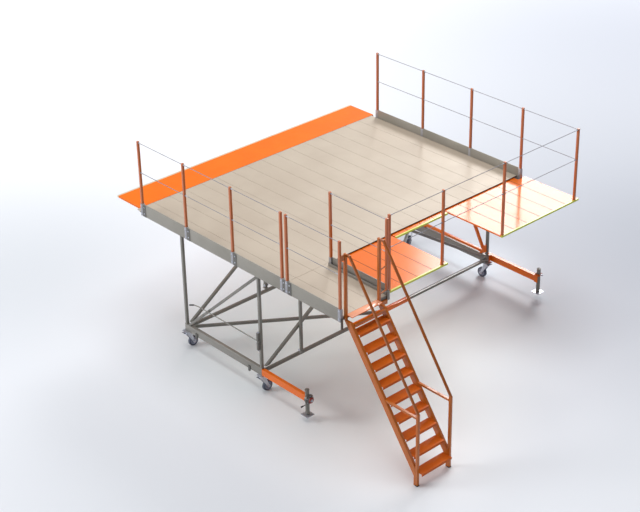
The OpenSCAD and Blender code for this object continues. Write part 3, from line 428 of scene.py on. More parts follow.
class Piece:
    """A new mesh in the frame's metres, built up from small solids and then set on its body."""

    # Thickness of a washer, height of a hexagon head and its rounding, as shares of its width
    WASHER_T = 0.16
    HEAD_H = 0.62
    HEAD_SOFT = 0.06

    def __init__(self, name: str, finish: Finish, body: str = "platform") -> None:
        """Starts an empty piece with its finish and the CAD body that it rides on."""
        self.name = name
        self.body = body
        self.finish = finish
        self.bm = bmesh.new()

    def _soften(self, verts: Sequence[bmesh.types.BMVert], width: float) -> None:
        """Rounds the sharp convex edges between the given vertices."""
        edges = dict.fromkeys(e for v in verts for e in v.link_edges if len(e.link_faces) == 2)
        sharp = [e for e in edges if e.calc_face_angle() > ROUND_ANGLE]
        bmesh.ops.bevel(self.bm, geom=sharp, offset=width, segments=2, profile=0.5, affect="EDGES",
            clamp_overlap=True, material=-1)

    def block(self, low: Vector, high: Vector, soft: float = 0.0) -> None:
        """Adds a box between two corners, with its edges rounded by soft metres."""
        size = high - low
        shape = Matrix.Translation((low + high) / 2) @ Matrix.Diagonal((*size, 1.0))
        made = bmesh.ops.create_cube(self.bm, size=1.0, matrix=shape)
        if soft:
            self._soften(made["verts"], soft)

    def turning(self, place: Vector, axis: Vector, shape: Profile) -> None:
        """Adds a round or many-sided solid that grows from a place along an axis."""
        axis = axis.normalized()
        middle = place + axis * shape.length / 2
        made = bmesh.ops.create_cone(
            self.bm, cap_ends=True, segments=shape.sides, radius1=shape.first, radius2=shape.last,
            depth=shape.length, matrix=turned(middle, axis))
        if shape.soft:
            self._soften(made["verts"], shape.soft)

    def bolt(self, seat: Vector, axis: Vector, across: float) -> None:
        """Adds a hexagon head of a width across its flats, on its washer."""
        washer = self.WASHER_T * across
        self.turning(seat, axis, Profile(across, across, washer, 20))
        self.hexagon(seat + axis.normalized() * washer, axis, across, self.HEAD_H * across,
                     self.HEAD_SOFT * across)

    def hexagon(self, place: Vector, axis: Vector, across: float, depth: float, soft: float) -> None:
        """Adds a hexagon, like a nut, of a width across its flats."""
        corner = across / math.sqrt(3)
        self.turning(place, axis, Profile(corner, corner, depth, 6, soft))

    def four_bolts(self, middle: Vector, inset: float, axis: Vector, across: float) -> None:
        """Adds a bolt at each corner of a level square, given half the square's width."""
        for sx in (-1, 1):
            for sy in (-1, 1):
                self.bolt(middle + Vector((sx * inset, sy * inset, 0.0)), axis, across)

    def bead(self, middle: Vector, half: Sequence[float], height: float) -> None:
        """Adds the weld bead round the foot of an upright tube.

        Args:
            middle: The middle of the tube's end, on the surface that it stands on.
            half: Half the tube's width along X and along Y.
            height: Height of the bead, below zero for one that hangs.
        """
        spread = abs(height)
        shape = Matrix.Translation(middle + Z_AXIS * height / 2)
        scale = Matrix.Diagonal((2 * half[0], 2 * half[1], height, 1.0))
        made = bmesh.ops.create_cube(self.bm, size=1.0, matrix=shape @ scale)
        for vert in made["verts"]:
            if abs(vert.co.z - middle.z) < spread / 2:
                vert.co.x += math.copysign(spread, vert.co.x - middle.x)
                vert.co.y += math.copysign(spread, vert.co.y - middle.y)

    def finished(self, stands_for: Iterable[str] = ()) -> Object:
        """Makes the object, dresses it and sets it on its body.

        Args:
            stands_for: CAD nodes that the piece replaces.

        Returns:
            The new object.
        """
        bmesh.ops.recalc_face_normals(self.bm, faces=self.bm.faces[:])
        mesh = bpy.data.meshes.new(self.name)
        self.bm.to_mesh(mesh)
        self.bm.free()
        mesh.shade_smooth()
        mesh.set_sharp_from_angle(angle=CRISP_ANGLE)
        mesh.materials.append(self.finish.material())
        piece = placed(self.name, mesh)
        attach(piece, self.body)
        if stands_for:
            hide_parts(*stands_for)
        LOG.info("%s: %d faces on %s", self.name, len(mesh.polygons), self.body)
        return piece


def round_corners(node: str, radius_mm: float = 1.5, segments: int = 2) -> Object:
    """Rounds the corners of a node's tubes or sheets: a rounded copy stands for the node.

    Args:
        node: The name of the CAD node.
        radius_mm: Corner radius in millimetres.
        segments: Number of facets round each corner.

    Returns:
        The rounded copy.
    """
    piece = Piece(f"{node}_rounded", finish_of(node), frame["nodes"][node]["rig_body"])
    piece.bm.free()
    piece.bm = merged(node)
    corners = [e for e in piece.bm.edges
               if len(e.link_faces) == 2 and e.is_convex and e.calc_face_angle() > ROUND_ANGLE]
    bmesh.ops.bevel(piece.bm, geom=corners, offset=radius_mm * MM, segments=segments, profile=0.5,
        affect="EDGES", clamp_overlap=True, material=-1)
    return piece.finished((node,))


def dress_frame() -> None:
    """Gives each node of the frame the finish that belongs to its material slot."""
    for node in SLOT_OF:
        part = frame["nodes"][node]
        material = finish_of(node).material()
        for place in part.material_slots:
            place.material = material
        if not part.material_slots:
            part.data.materials.append(material)


@dataclass
class GuardRails:
    """Posts with their caps, sockets and bolts, and the rods with their end fittings."""

    posts: tuple[str, ...] = ("side_posts", "fence_posts", "panel_posts")
    corner_mm: float = 4.0
    cap_h: float = 0.005
    cap_soft: float = 0.003
    collar: Profile = Profile(0.012, 0.012, 0.005, 16, 0.001)
    nut_across: float = 0.017
    nut_l: float = 0.010
    nut_soft: float = 0.001
    swage_l: float = 0.045
    swage_swell: Pair = (1.7, 1.1)
    side_socket_h: float = 0.15
    bolt_shares: Pair = (0.2, 0.85)
    bolt_across: float = 0.013
    # The thin dark plates beside the post sockets are painted shade: the thickness that picks them out,
    # and the width of their bolts
    shade_plate_t: float = 0.02
    shade_plate_bolt: float = 0.0104

    def build(self) -> None:
        """Rounds the posts and adds what is fitted to them."""
        for node in self.posts:
            round_corners(node, self.corner_mm, 3)
        round_corners("post_sockets")
        self._caps()
        self._rod_ends()
        self._socket_bolts()

    def _caps(self) -> None:
        """A domed cap closes the top of each post."""
        piece = Piece("guard_post_caps", TERRACOTTA_COAT)
        for node in self.posts:
            for post in solids(node):
                piece.block(post.at(0, 0, 1), post.high + Z_AXIS * self.cap_h, self.cap_soft)
        piece.finished()

    def _rod_ends(self) -> None:
        """Each rod ends at a post in a collar, a nut and a tapered swage."""
        piece = Piece("rod_end_fittings", BRIGHT_METAL)
        for rod in solids("guard_rods"):
            run = max(range(3), key=lambda i: rod.size[i])
            half = rod.size[(run + 1) % 3] / 2
            swage = Profile(*(half * swell for swell in self.swage_swell), self.swage_l, 12)
            along = Vector([float(i == run) for i in range(3)])
            for inward in (along, -along):
                end = rod.middle - inward * rod.size[run] / 2
                nut = end + inward * self.collar.length
                piece.turning(end, inward, self.collar)
                piece.hexagon(nut, inward, self.nut_across, self.nut_l, self.nut_soft)
                piece.turning(nut + inward * self.nut_l, inward, swage)
        piece.finished()

    def _socket_bolts(self) -> None:
        """Two bolts through each side socket, and two through each thin dark plate beside it, whose dark
        colour is painted shade.
        """
        piece = Piece("socket_bolts", ZINC_STEEL)
        for socket in solids("post_sockets"):
            if socket.size.z < self.side_socket_h:
                continue
            out, face = socket.outward()
            for share in self.bolt_shares:
                piece.bolt(socket.at(0.5, face, share), out, self.bolt_across)
        # The thin dark plates beside the sockets paint the shaded strip beside each socket
        for plate in solids("post_brackets"):
            if plate.size.y > self.shade_plate_t:
                continue
            for share in QUARTERS:
                piece.bolt(plate.at(0.5, 0, share), -Y_AXIS, self.shade_plate_bolt)
        piece.finished()


@dataclass
class StairFlight:
    """The stair flight: rounded tubes, studded treads, a sheet on its top plate and post inserts."""

    corner_mm: float = 4.0
    stud: Profile = Profile(0.004, 0.0024, 0.0015, 8)
    stud_pitch: float = 0.028
    edge_in: float = 0.022
    sheet_in: float = 0.006
    sheet_h: float = 0.0012
    floor_reach: float = 0.05
    insert_rim: float = 0.004
    insert_h: float = 0.012
    insert_soft: float = 0.003

    def build(self) -> None:
        """Rounds the tubes, studs the treads, lays the top sheet and closes the posts' feet."""
        for node in ("stair_posts", "stair_handrails", "stair_stringers"):
            round_corners(node, self.corner_mm, 3)
        self._studs()
        self._top_sheet()
        self._feet()

    def _studs(self) -> None:
        """Raised anti-slip studs in staggered rows on each tread below the top plate."""
        piece = Piece("tread_studs", TREAD_COAT)
        for tread in sorted(solids("stair_treads"), key=lambda b: b.high.z)[:-1]:
            across = tread.size.y - 2 * self.edge_in
            deep = tread.size.x - 2 * self.edge_in
            columns = int(across / self.stud_pitch)
            rows = max(1, int(deep / self.stud_pitch))
            for row in range(rows + 1):
                stagger = row % 2
                for column in range(columns - stagger):
                    share = (column + 0.5 * stagger + 0.5) / columns
                    place = Vector((
                        tread.low.x + self.edge_in + deep * row / rows,
                        tread.low.y + self.edge_in + across * share, tread.high.z))
                    piece.turning(place, Z_AXIS, self.stud)
        piece.finished()

    def _top_sheet(self) -> None:
        """A glossy cover sheet lies on the plate at the head of the flight; its pale salmon colour is a
        painted sheen.
        """
        piece = Piece("top_plate_sheet", SALMON_SHEEN_COAT)
        plate = max(solids("stair_treads"), key=lambda b: b.high.z)
        rim = Vector((self.sheet_in, self.sheet_in, 0.0))
        piece.block(plate.at(0, 0, 1) + rim, plate.high - rim + Z_AXIS * self.sheet_h,
                    self.sheet_h * THIN_SOFT)
        piece.finished()

    def _feet(self) -> None:
        """A rubber insert closes the foot of each stair post that stands on the floor."""
        piece = Piece("stair_post_inserts", SLIDE_PLASTIC)
        rim = self.insert_rim
        for post in solids("stair_posts"):
            if post.low.z > self.floor_reach:
                continue
            high = post.at(1, 1, 0) + Vector((rim, rim, self.insert_h))
            piece.block(post.low - Vector((rim, rim, 0.0)), high, self.insert_soft)
        piece.finished()


@dataclass
class BaseFrame:
    """The braced tube base: rolled corners, weld beads, end caps and bolts."""

    corner_mm: float = 5.0
    strut_corner_mm: float = 2.0
    bead: float = 0.006
    cap_t: float = 0.004
    cap_in: float = 0.002
    cap_soft: float = 0.0015
    pin_lift: float = 0.055
    fork_half: float = 0.025
    bolt_across: float = 0.019

    def build(self) -> None:
        """Rounds the tubes and adds beads, caps and bolts."""
        for node in ("legs", "base_side_beams", "base_end_beams", "side_braces", "end_braces",
                     "base_diagonals", "deck_bolsters"):
            round_corners(node, self.corner_mm, 3)
        round_corners("loose_struts", self.strut_corner_mm, 3)
        self._beads()
        self._end_caps()
        self._strut_pins()

    def _beads(self) -> None:
        """Weld beads at the head and the foot of each leg."""
        piece = Piece("leg_weld_beads", GREY_ENAMEL)
        for leg in solids("legs"):
            piece.bead(leg.at(0.5, 0.5, 0), leg.size / 2, self.bead)
            piece.bead(leg.at(0.5, 0.5, 1), leg.size / 2, -self.bead)
        piece.finished()

    def _end_caps(self) -> None:
        """Black caps in the open front ends of the side beams."""
        piece = Piece("beam_end_caps", SLIDE_PLASTIC)
        for beam in solids("base_side_beams"):
            low = beam.low + Vector((-self.cap_t, self.cap_in, self.cap_in))
            high = beam.at(0, 1, 1) - Vector((0.0, self.cap_in, self.cap_in))
            piece.block(low, high, self.cap_soft)
        piece.finished()

    def _strut_pins(self) -> None:
        """A bolt through the fork at the foot of each loose strut, with its nut."""
        piece = Piece("strut_pins", ZINC_STEEL)
        for strut in solids("loose_struts"):
            reach = min(self.fork_half, strut.size.y / 2)
            pin = strut.at(0.5, 0.5, 0) + Z_AXIS * self.pin_lift
            for out in (Y_AXIS, -Y_AXIS):
                piece.bolt(pin + out * reach, out, self.bolt_across)
        piece.finished()


@dataclass
class Casters:
    """Four swivel casters: mounting bolts, axle nuts, wheel faces and brake pedals."""

    plate_t: float = 0.010
    plate_bolt_in: float = 0.045
    bolt_across: float = 0.017
    axle_reach: float = 0.034
    nut_across: float = 0.024
    wheel_half: float = 0.023
    cap: Profile = Profile(0.021, 0.016, 0.004, 24)
    ribs: int = 5
    rib: Profile = Profile(0.0035, 0.0025, 0.036, 8)
    rib_in: float = 0.018
    plug: Profile = Profile(0.006, 0.005, 0.0025)
    plug_in: float = 0.038
    bars: int = 3
    bar: Profile = Profile(0.0025, 0.0025, 0.072, 8)
    bar_out: float = 0.080
    bar_step: float = 0.007
    bar_drop: float = 0.0035

    def build(self) -> None:
        """Dresses each caster with what rides on its plate, its fork and its wheel."""
        self._plate_bolts()
        joints = {row["name"]: row for row in frame["joints"]}
        for number in range(1, 5):
            wheel = joints[f"wheel_{number}_roll"]
            swivel = Vector(joints[f"caster_{number}_swivel"]["pos_m"])
            axle = Vector(wheel["pos_m"])
            axis = Vector(wheel["axis"]).normalized()
            self._axle_nuts(number, axle, axis)
            self._wheel_faces(number, axle, axis)
            self._pedal_tread(number, swivel, axle)

    def _plate_bolts(self) -> None:
        """Four bolts hang from each mounting plate."""
        piece = Piece("caster_plate_bolts", ZINC_STEEL)
        for plate in solids("caster_plates"):
            under = plate.at(0.5, 0.5, 1) - Z_AXIS * self.plate_t
            piece.four_bolts(under, self.plate_bolt_in, -Z_AXIS, self.bolt_across)
        piece.finished()

    def _axle_nuts(self, number: int, axle: Vector, axis: Vector) -> None:
        """A nut on each end of the axle."""
        piece = Piece(f"axle_nuts_{number}", ZINC_STEEL, f"caster_{number}")
        for side in (1.0, -1.0):
            piece.bolt(axle + axis * side * self.axle_reach, axis * side, self.nut_across)
        piece.finished()

    def _wheel_faces(self, number: int, axle: Vector, axis: Vector) -> None:
        """Ribs, plugs between them and a bearing cap stand on both faces of the wheel."""
        piece = Piece(f"wheel_faces_{number}", CAST_WHEEL, f"wheel_{number}")
        across = axis.cross(Z_AXIS).normalized()
        for side in (1.0, -1.0):
            out = axis * side
            face = axle + out * self.wheel_half
            piece.turning(face, out, self.cap)
            for rib in range(self.ribs):
                turns = (math.tau * step / self.ribs for step in (rib, rib + 0.5))
                spoke, plug = (across * math.cos(turn) + Z_AXIS * math.sin(turn) for turn in turns)
                piece.turning(face + spoke * self.rib_in, spoke, self.rib)
                piece.turning(face + plug * self.plug_in, out, self.plug)
        piece.finished()

    def _pedal_tread(self, number: int, swivel: Vector, axle: Vector) -> None:
        """Dark rubber bars lie across the brake pedal."""
        piece = Piece(f"brake_pedal_pad_{number}", SLIDE_PLASTIC, f"caster_{number}")
        back = Vector((swivel.x - axle.x, swivel.y - axle.y, 0.0)).normalized()
        side = back.cross(Z_AXIS)
        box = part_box(f"fork_{number}")
        for step in range(self.bars):
            place = Vector((swivel.x, swivel.y, box[1].z - self.bar_drop * step))
            place += back * (self.bar_out - self.bar_step * step)
            piece.turning(place - side * self.bar.length / 2, side, self.bar)
        piece.finished()


@dataclass
class JackStands:
    """Outriggers and jacks: tube caps, housing bolts, grip, the far jack's collar and foot bolts."""

    corner_mm: float = 3.0
    rim_w: float = 0.003
    rim_h: float = 0.006
    rim_soft: float = 0.002
    dome_shares: Pair = (0.8, 0.35)
    dome_h: float = 0.008
    housing_bolts: int = 6
    level_slack: float = 0.02
    flange_t: float = 0.016
    flange_r: float = 0.057
    flange_bolt: float = 0.008
    crank_nut: float = 0.022
    grip: Profile = Profile(0.011, 0.0095, 0.040, 16, 0.003)
    collar_wall: float = 0.010
    collar_h: float = 0.032
    stub_over: float = 0.0015
    stub_l: float = 0.012
    stub_soft: float = 0.003
    pad_t: float = 0.010
    foot_bolt_in: float = 0.048
    foot_bolt: float = 0.011

    def build(self) -> None:
        """Dresses both jacks."""
        round_corners("far_props", self.corner_mm)
        self._tube_caps()
        self._gear_bolts()
        self._grip()
        self._far_collar()
        for node, name in (("jack_foot_near", "near"), ("jack_foot_far", "far")):
            self._foot_bolts(node, name)

    def _tube_caps(self) -> None:
        """A low dome on a rim closes the top of each jack tube."""
        piece = Piece("jack_tube_caps", GREY_ENAMEL)
        for tube in solids("jack_tubes"):
            top, radius = tube.at(0.5, 0.5, 1), tube.size.x / 2
            rim = radius + self.rim_w
            dome = Profile(*(radius * share for share in self.dome_shares), self.dome_h, 32)
            piece.turning(top, Z_AXIS, Profile(rim, rim, self.rim_h, 32, self.rim_soft))
            piece.turning(top + Z_AXIS * self.rim_h, Z_AXIS, dome)
        piece.finished()

    def _gear_bolts(self) -> None:
        """Bolts round the flange of the gear housing, and the nut of its crank."""
        piece = Piece("gear_housing_bolts", ZINC_STEEL)
        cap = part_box("jack_caps")
        middle = (cap[0] + cap[1]) / 2
        start = max(b.high.x for b in solids("jack_gears")
                    if abs(b.middle.z - middle.z) < self.level_slack)
        for turn in range(self.housing_bolts):
            angle = math.tau * (turn + 0.5) / self.housing_bolts
            arm = Vector((0.0, math.cos(angle), math.sin(angle)))
            place = Vector((start - self.flange_t, middle.y, middle.z)) + arm * self.flange_r
            piece.bolt(place, X_AXIS, self.flange_bolt)
        piece.bolt(Vector((cap[1].x, middle.y, middle.z)), X_AXIS, self.crank_nut)
        piece.finished()

    def _grip(self) -> None:
        """A moulded grip on the end of the lock handle."""
        piece = Piece("lock_handle_grip", SLIDE_PLASTIC)
        handle = min(solids("jack_gears"), key=lambda b: b.low.y)
        piece.turning(handle.at(0.5, 0, 0.5), Y_AXIS, self.grip)
        piece.finished()

    def _far_collar(self) -> None:
        """An orange collar and a bright crank stub on the far jack, above its outrigger."""
        tube = max(solids("jack_tubes"), key=lambda b: b.middle.y)
        arm = max(solids("outriggers"), key=lambda b: b.middle.y)
        collar = Piece("far_jack_collar", TREAD_COAT)
        half = tube.size.x / 2
        centre = Vector((tube.middle.x, tube.middle.y, arm.high.z + self.collar_h / 2))
        for axis, other in ((X_AXIS, Y_AXIS), (Y_AXIS, X_AXIS)):
            reach = (axis * self.collar_wall / 2 + other * (half + self.collar_wall)
                     + Z_AXIS * self.collar_h / 2)
            for sign in (-1.0, 1.0):
                wall = centre + axis * sign * (half + self.collar_wall / 2)
                collar.block(wall - reach, wall + reach, self.rim_soft)
        collar.finished()
        stub = Piece("far_jack_crank_stub", ZINC_STEEL)
        boss = max(solids("jack_gears"), key=lambda b: b.middle.y)
        start = Vector((tube.high.x, boss.middle.y, boss.middle.z))
        radius = boss.size.z / 2 + self.stub_over
        length = boss.high.x - tube.high.x + self.stub_l
        stub.turning(start, X_AXIS, Profile(radius, radius, length, 24, self.stub_soft))
        stub.finished()

    def _foot_bolts(self, node: str, name: str) -> None:
        """Four bolts hold the swivel cup of a jack foot on its pad."""
        cup = Piece(f"{name}_jack_foot_cup", ZINC_STEEL, f"{name}_jack_foot")
        pad = Block(*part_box(node)).at(0.5, 0.5, 0) + Z_AXIS * self.pad_t
        cup.four_bolts(pad, self.foot_bolt_in, Z_AXIS, self.foot_bolt)
        cup.finished()


@dataclass
class Deck:
    """The deck: plank screws, edge rivets, and the painted shade strip and painted reflection strip at
    its rear edge.
    """

    screw: Profile = Profile(0.006, 0.0042, 0.0012)
    screw_shares: Pair = (0.2, 0.8)
    full_joist: float = 2.0
    rivet: Profile = Profile(0.006, 0.0035, 0.0025)
    rivet_pitch: float = 0.25
    rivet_room: float = 0.16
    rivet_start: float = 0.11
    rivet_end: float = 0.03
    rivet_lift: float = 0.030
    # The two strips on the rear ends of the planks: painted shade above, and below it a painted
    # reflection of the orange panels
    edge_strip_t: float = 0.003
    shade_strip_h: float = 0.010
    edge_strip_gap: float = 0.004
    edge_strip_in: float = 0.001
    edge_strip_soft: float = 0.0009

    def build(self) -> None:
        """Adds the fasteners and the painted strips at the rear edge, and rounds the sheet metal."""
        self._plank_screws()
        self._rear_edge_strips()
        self._rivets()
        round_corners("edge_plates")
        round_corners("landing_toe_board")

    def _plank_screws(self) -> None:
        """Two screws where each plank crosses a joist."""
        piece = Piece("plank_screws", RIBBED_PLANK)
        joists = [j for j in solids("deck_joists") if j.size.y > self.full_joist]
        for plank in solids("deck_planks"):
            for joist in joists:
                for share in self.screw_shares:
                    y = plank.low.y + share * plank.size.y
                    if joist.low.y < y < joist.high.y:
                        piece.turning(Vector((joist.middle.x, y, plank.high.z)), Z_AXIS, self.screw)
        piece.finished()

    def _rear_edge_strips(self) -> None:
        """A dark strip of painted shade over an orange strip of painted reflection, along the rear ends
        of the planks.
        """
        planks = solids("deck_planks")
        start = max(b.high.y for b in solids("landing_floor")) + self.edge_strip_gap
        end = max(b.high.y for b in planks)
        face = planks[0].high.x
        foot, top = planks[0].low.z + self.edge_strip_in, planks[0].high.z - self.edge_strip_in
        # The dark strip paints the shade on the plank ends, the orange one the orange panels reflected
        # in them
        for name, finish, low, high in (
                ("rear_edge_shade_strip", SLIDE_PLASTIC, top - self.shade_strip_h, top),
                ("rear_edge_reflection_strip", ORANGE_COAT, foot, top - self.shade_strip_h)):
            piece = Piece(name, finish)
            piece.block(
                Vector((face, start, low)), Vector((face + self.edge_strip_t, end, high)), self.edge_strip_soft)
            piece.finished()

    def _rivets(self) -> None:
        """A row of rivets along the foot of each edge plate."""
        piece = Piece("edge_plate_rivets", PLATE_ALUMINIUM)
        for plate in solids("edge_plates"):
            out, face = plate.outward()
            count = int((plate.size.x - self.rivet_room) / self.rivet_pitch)
            for i in range(count + 1):
                along = self.rivet_start + i * self.rivet_pitch
                if plate.low.x + along <= plate.high.x - self.rivet_end:
                    place = plate.at(0, face, 0) + Vector((along, 0.0, self.rivet_lift))
                    piece.turning(place, out, self.rivet)
        piece.finished()


@dataclass
class SlidePanels:
    """The slide-out panels: joint strips, screws behind the noses and beads under the posts."""

    panels: tuple[tuple[str, str, tuple[str, ...]], ...] = (
        ("fixed", "platform", ("near_panel", "far_panel")),
        ("middle", "middle_panel", ("mid_panel",)),
    )
    screw: Profile = Profile(0.005, 0.0035, 0.001)
    screw_in: float = 0.018
    strip_w: float = 0.009
    strip_h: float = 0.0008
    strip_end: float = 0.002
    bead: float = 0.004

    def build(self) -> None:
        """Adds the strips, the screws and the beads."""
        for add in (self._joint_strips, self._screws):
            for panel in self.panels:
                add(*panel)
        beads = Piece("panel_post_beads", TERRACOTTA_COAT)
        for post in solids("panel_posts"):
            beads.bead(post.at(0.5, 0.5, 0), post.size / 2, self.bead)
        beads.finished()

    def _screws(self, name: str, body: str, nodes: Iterable[str]) -> None:
        """Two screws behind the nose of each plank of the panels on one body."""
        piece = Piece(f"{name}_panel_screws", ORANGE_COAT, body)
        for node in nodes:
            for plank in solids(node):
                for share in QUARTERS:
                    place = plank.at(1, share, 1) - X_AXIS * self.screw_in
                    piece.turning(place, Z_AXIS, self.screw)
        piece.finished()

    def _joint_strips(self, name: str, body: str, nodes: Iterable[str]) -> None:
        """A dull strip covers each joint between the planks of the panels on one body."""
        piece = Piece(f"{name}_panel_joints", JOINT_MASTIC, body)
        for node in nodes:
            planks = sorted(solids(node), key=lambda b: b.low.y)
            for one, other in zip(planks, planks[1:]):
                y = (one.high.y + other.low.y) / 2
                top = min(one.high.z, other.high.z)
                start = max(one.low.x, other.low.x) + self.strip_w
                end = min(one.high.x, other.high.x) - self.strip_end
                piece.block(
                    Vector((start, y - self.strip_w / 2, top)),
                    Vector((end, y + self.strip_w / 2, top + self.strip_h)), self.strip_h * THIN_SOFT)
        piece.finished()


@dataclass
class FrontFlap:
    """The front flap: screws along its pale edge strip and along its hinges."""

    edge_screw: Profile = Profile(0.006, 0.004, 0.0015)
    edge_pitch: float = 0.30
    edge_end: float = 0.04
    hinge_screw: Profile = Profile(0.005, 0.0035, 0.002)
    hinge_in: float = 0.013

    def build(self) -> None:
        """Adds the screws."""
        piece = Piece("flap_edge_screws", PALE_EDGE, "flap")
        low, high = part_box("flap_nose_strip")
        count = int((high.y - low.y) / self.edge_pitch)
        for i in range(count + 1):
            y = low.y + self.edge_end + i * (high.y - low.y - 2 * self.edge_end) / count
            piece.turning(Vector(((low.x + high.x) / 2, y, high.z)), Z_AXIS, self.edge_screw)
        piece.finished()
        screws = Piece("flap_hinge_screws", ZINC_STEEL, "flap")
        inset = Vector((self.hinge_in, 0.0, -self.hinge_screw.length))
        for knuckle in solids("flap_knuckles"):
            for share in QUARTERS:
                screws.turning(knuckle.at(0, share, 0.5) + inset, -Z_AXIS, self.hinge_screw)
        screws.finished()


@dataclass
class PullBar:
    """The pull bar: the grip on its bent end, and the pin that it swings on."""

    grip: Profile = Profile(0.0115, 0.0115, 0.11, 16, 0.002)
    head_across: float = 0.019

    def build(self) -> None:
        """Adds the grip and the heads of the pin."""
        self._grip()
        pin = Piece("pull_bar_pin_heads", ZINC_STEEL)
        joint = next(row for row in frame["joints"] if row["name"] == "pull_bar_swing")
        place = Vector(joint["pos_m"])
        plates = solids("pull_bracket")
        for out, z in ((Z_AXIS, max(b.high.z for b in plates)),
                       (-Z_AXIS, min(b.low.z for b in plates))):
            pin.bolt(Vector((place.x, place.y, z)), out, self.head_across)
        pin.finished()

    def _grip(self) -> None:
        """A moulded sleeve on the bent end of the bar, from its tip towards its bend."""
        bm = merged("pull_bar")
        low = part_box("pull_bar")[0]
        near, far = low.x + self.grip.first, low.x + 2 * self.grip.length
        tip = [v.co.copy() for v in bm.verts if v.co.x < near]
        back = [v.co.copy() for v in bm.verts if near < v.co.x < far]
        bm.free()
        end = sum(tip, Vector()) / len(tip)
        bend = sum(back, Vector()) / len(back)
        piece = Piece("pull_bar_grip", SLIDE_PLASTIC, "pull_bar")
        piece.turning(end, bend - end, self.grip)
        piece.finished()


@dataclass(frozen=True)
class PaintedShadingPool:
    """A round patch of the studio floor painted a little lighter or darker: a pool of painted light or
    of painted shade.
    """

    middle: Pair
    radius: float
    colour: str


@dataclass(frozen=True)
class Softbox:
    """A lamp. One that faces down hangs under the deck, out of sight of camera and gloss."""

    name: str
    place: Triple
    size: Pair
    watts: float
    faces_down: bool = False


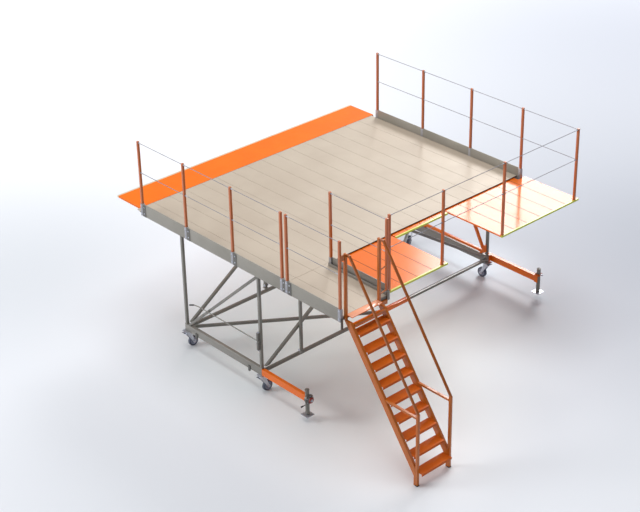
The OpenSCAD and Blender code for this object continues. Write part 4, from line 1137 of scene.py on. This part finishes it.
@dataclass
class Studio:
    """The floor, the lights and the camera at the picture's view."""

    focal_mm: float = 91.5
    sensor_mm: float = 36.0
    place: Triple = (14.740, -14.5075, 12.645)
    azimuth_deg: float = 47.911
    elevation_deg: float = 28.795
    roll_deg: float = -1.103
    sight_m: float = 300.0
    floor_size: float = 160.0
    floor_colour: str = "#dddfe4"
    # Pools of painted light and shade on the floor. The white ones paint light far to the platform's -X
    # side, under the deck and in front of the stairs; the grey ones paint soft shade, among it the
    # platform's soft shadow beside it; the pale cyan tints under the deck paint out the pink of light
    # bounced off the orange parts
    painted_shading_pools: tuple[PaintedShadingPool, ...] = (
        PaintedShadingPool((-16.0, 5.0), 14.0, "#ffffff"),
        PaintedShadingPool((-4.0, 12.5), 10.5, "#bcbfc8"),
        PaintedShadingPool((1.8, 5.8), 9.0, "#adb0b9"),
        PaintedShadingPool((-5.0, -2.8), 4.5, "#cdd0d5"),
        PaintedShadingPool((1.8, -1.7), 2.4, "#ffffff"),
        PaintedShadingPool((-0.2, -0.4), 3.6, "#f6ffff"),
        PaintedShadingPool((-0.4, 2.1), 1.6, "#eef6ff"),
    )
    sky_colour: str = "#eef4fa"
    sky_strength: float = 0.33
    aim: Triple = (0.0, 0.0, 1.2)
    lamps: tuple[Softbox, ...] = (
        Softbox("top_softbox", (-2.0, 0.0, 22.0), (16.0, 16.0), 3000.0),
        Softbox("key_softbox", (-14.0, -19.0, 9.0), (9.0, 9.0), 2700.0),
        Softbox("back_softbox", (-9.8, 23.7, 17.5), (8.0, 11.0), 3900.0),
        Softbox("feather_softbox", (-15.45, 20.5, 17.5), (5.0, 11.0), 1650.0),
        Softbox("under_deck_fill", (-1.0, -1.2, 1.55), (3.0, 3.0), 12.5, faces_down=True),
    )

    def build(self) -> None:
        """Keeps the colours as painted, and makes the floor, the light and the camera."""
        view = bpy.context.scene.view_settings
        view.view_transform = "Standard"
        view.look = "None"
        self._floor()
        self._sky()
        for lamp in self.lamps:
            self._hang(lamp)
        self._camera()

    def _floor(self) -> None:
        """A pale studio floor with soft pools of painted light and painted shade."""
        bm = bmesh.new()
        bmesh.ops.create_grid(bm, x_segments=1, y_segments=1, size=self.floor_size / 2)
        mesh = bpy.data.meshes.new("studio_floor")
        bm.to_mesh(mesh)
        bm.free()
        floor = placed("studio_floor", mesh)
        made = bpy.data.materials.new("studio_floor_paint")
        tree = emptied(made)
        place = add_node(tree, "ShaderNodeTexCoord").outputs["Object"]
        tone = linear(self.floor_colour)
        # Each pool mixes its painted light or shade into the floor's colour
        for pool in self.painted_shading_pools:
            mask = self._mask(tree, place, pool)
            tone = add_node(tree, "ShaderNodeMix", {"data_type": "RGBA"}, {
                "Factor": mask, 6: tone, 7: linear(pool.colour)}).outputs[2]
        shader = add_node(tree, "ShaderNodeBsdfPrincipled", inputs={
            "Base Color": tone, "Roughness": 0.6, "Specular IOR Level": 0.2})
        add_node(tree, "ShaderNodeOutputMaterial", inputs={"Surface": shader.outputs[0]})
        mesh.materials.append(made)

    def _mask(self, tree: NodeTree, place: NodeSocket,
              pool: PaintedShadingPool) -> NodeSocket:
        """Returns the mask of one pool of painted light or shade: 1 in its middle, falling softly to 0
        at its rim.
        """
        x, y = pool.middle
        shift = add_node(tree, "ShaderNodeMapping", {"vector_type": "POINT"}, {
            "Vector": place, "Location": (-x / pool.radius, -y / pool.radius, 0.0),
            "Scale": (1 / pool.radius,) * 3})
        fade = add_node(tree, "ShaderNodeTexGradient", {"gradient_type": "SPHERICAL"}, {
            "Vector": shift.outputs[0]})
        soft = add_node(tree, "ShaderNodeMapRange", {"interpolation_type": "SMOOTHSTEP"}, {
            "Value": fade.outputs["Fac"]})
        return soft.outputs[0]

    def _sky(self) -> None:
        """An even pale surround."""
        world = bpy.data.worlds.new("studio_surround")
        bpy.context.scene.world = world
        tree = emptied(world)
        light = add_node(tree, "ShaderNodeBackground", inputs={
            "Color": linear(self.sky_colour), "Strength": self.sky_strength})
        add_node(tree, "ShaderNodeOutputWorld", inputs={"Surface": light.outputs[0]})

    def _hang(self, softbox: Softbox) -> None:
        """Hangs one softbox, which faces the middle of the platform or straight down."""
        data = bpy.data.lights.new(softbox.name, "AREA")
        data.shape = "RECTANGLE"
        data.size, data.size_y = softbox.size
        data.energy = softbox.watts
        lamp = placed(softbox.name, data)
        lamp.location = softbox.place
        if softbox.faces_down:
            lamp.visible_camera = False
            lamp.visible_glossy = False
        else:
            sight = Vector(self.aim) - Vector(softbox.place)
            lamp.rotation_euler = sight.to_track_quat("-Z", "Y").to_euler()

    def _camera(self) -> None:
        """Sets the camera at the picture's view, with the roll that the picture has."""
        azimuth, elevation, roll = (
            math.radians(a) for a in (self.azimuth_deg, self.elevation_deg, self.roll_deg))
        back = Vector((
            math.sin(azimuth) * math.cos(elevation), -math.cos(azimuth) * math.cos(elevation),
            math.sin(elevation)))
        level = Vector((math.cos(azimuth), math.sin(azimuth), 0.0))
        up = back.cross(level)
        right = math.cos(roll) * level + math.sin(roll) * up
        top = -math.sin(roll) * level + math.cos(roll) * up
        turn = Matrix((right, top, back)).transposed().to_4x4()
        data = bpy.data.cameras.new("view")
        data.lens = self.focal_mm
        data.sensor_width = self.sensor_mm
        data.clip_end = self.sight_m
        camera = placed("view", data)
        camera.matrix_world = Matrix.Translation(self.place) @ turn
        bpy.context.scene.camera = camera


def main() -> None:
    """Builds the studio and dresses each sub-assembly."""
    logging.basicConfig(level=logging.INFO, format="%(name)s: %(message)s")
    Studio().build()
    dress_frame()
    for assembly in (Deck, SlidePanels, FrontFlap, GuardRails, BaseFrame, Casters, JackStands,
                     StairFlight, PullBar):
        assembly().build()


if __name__ == "__main__":
    main()
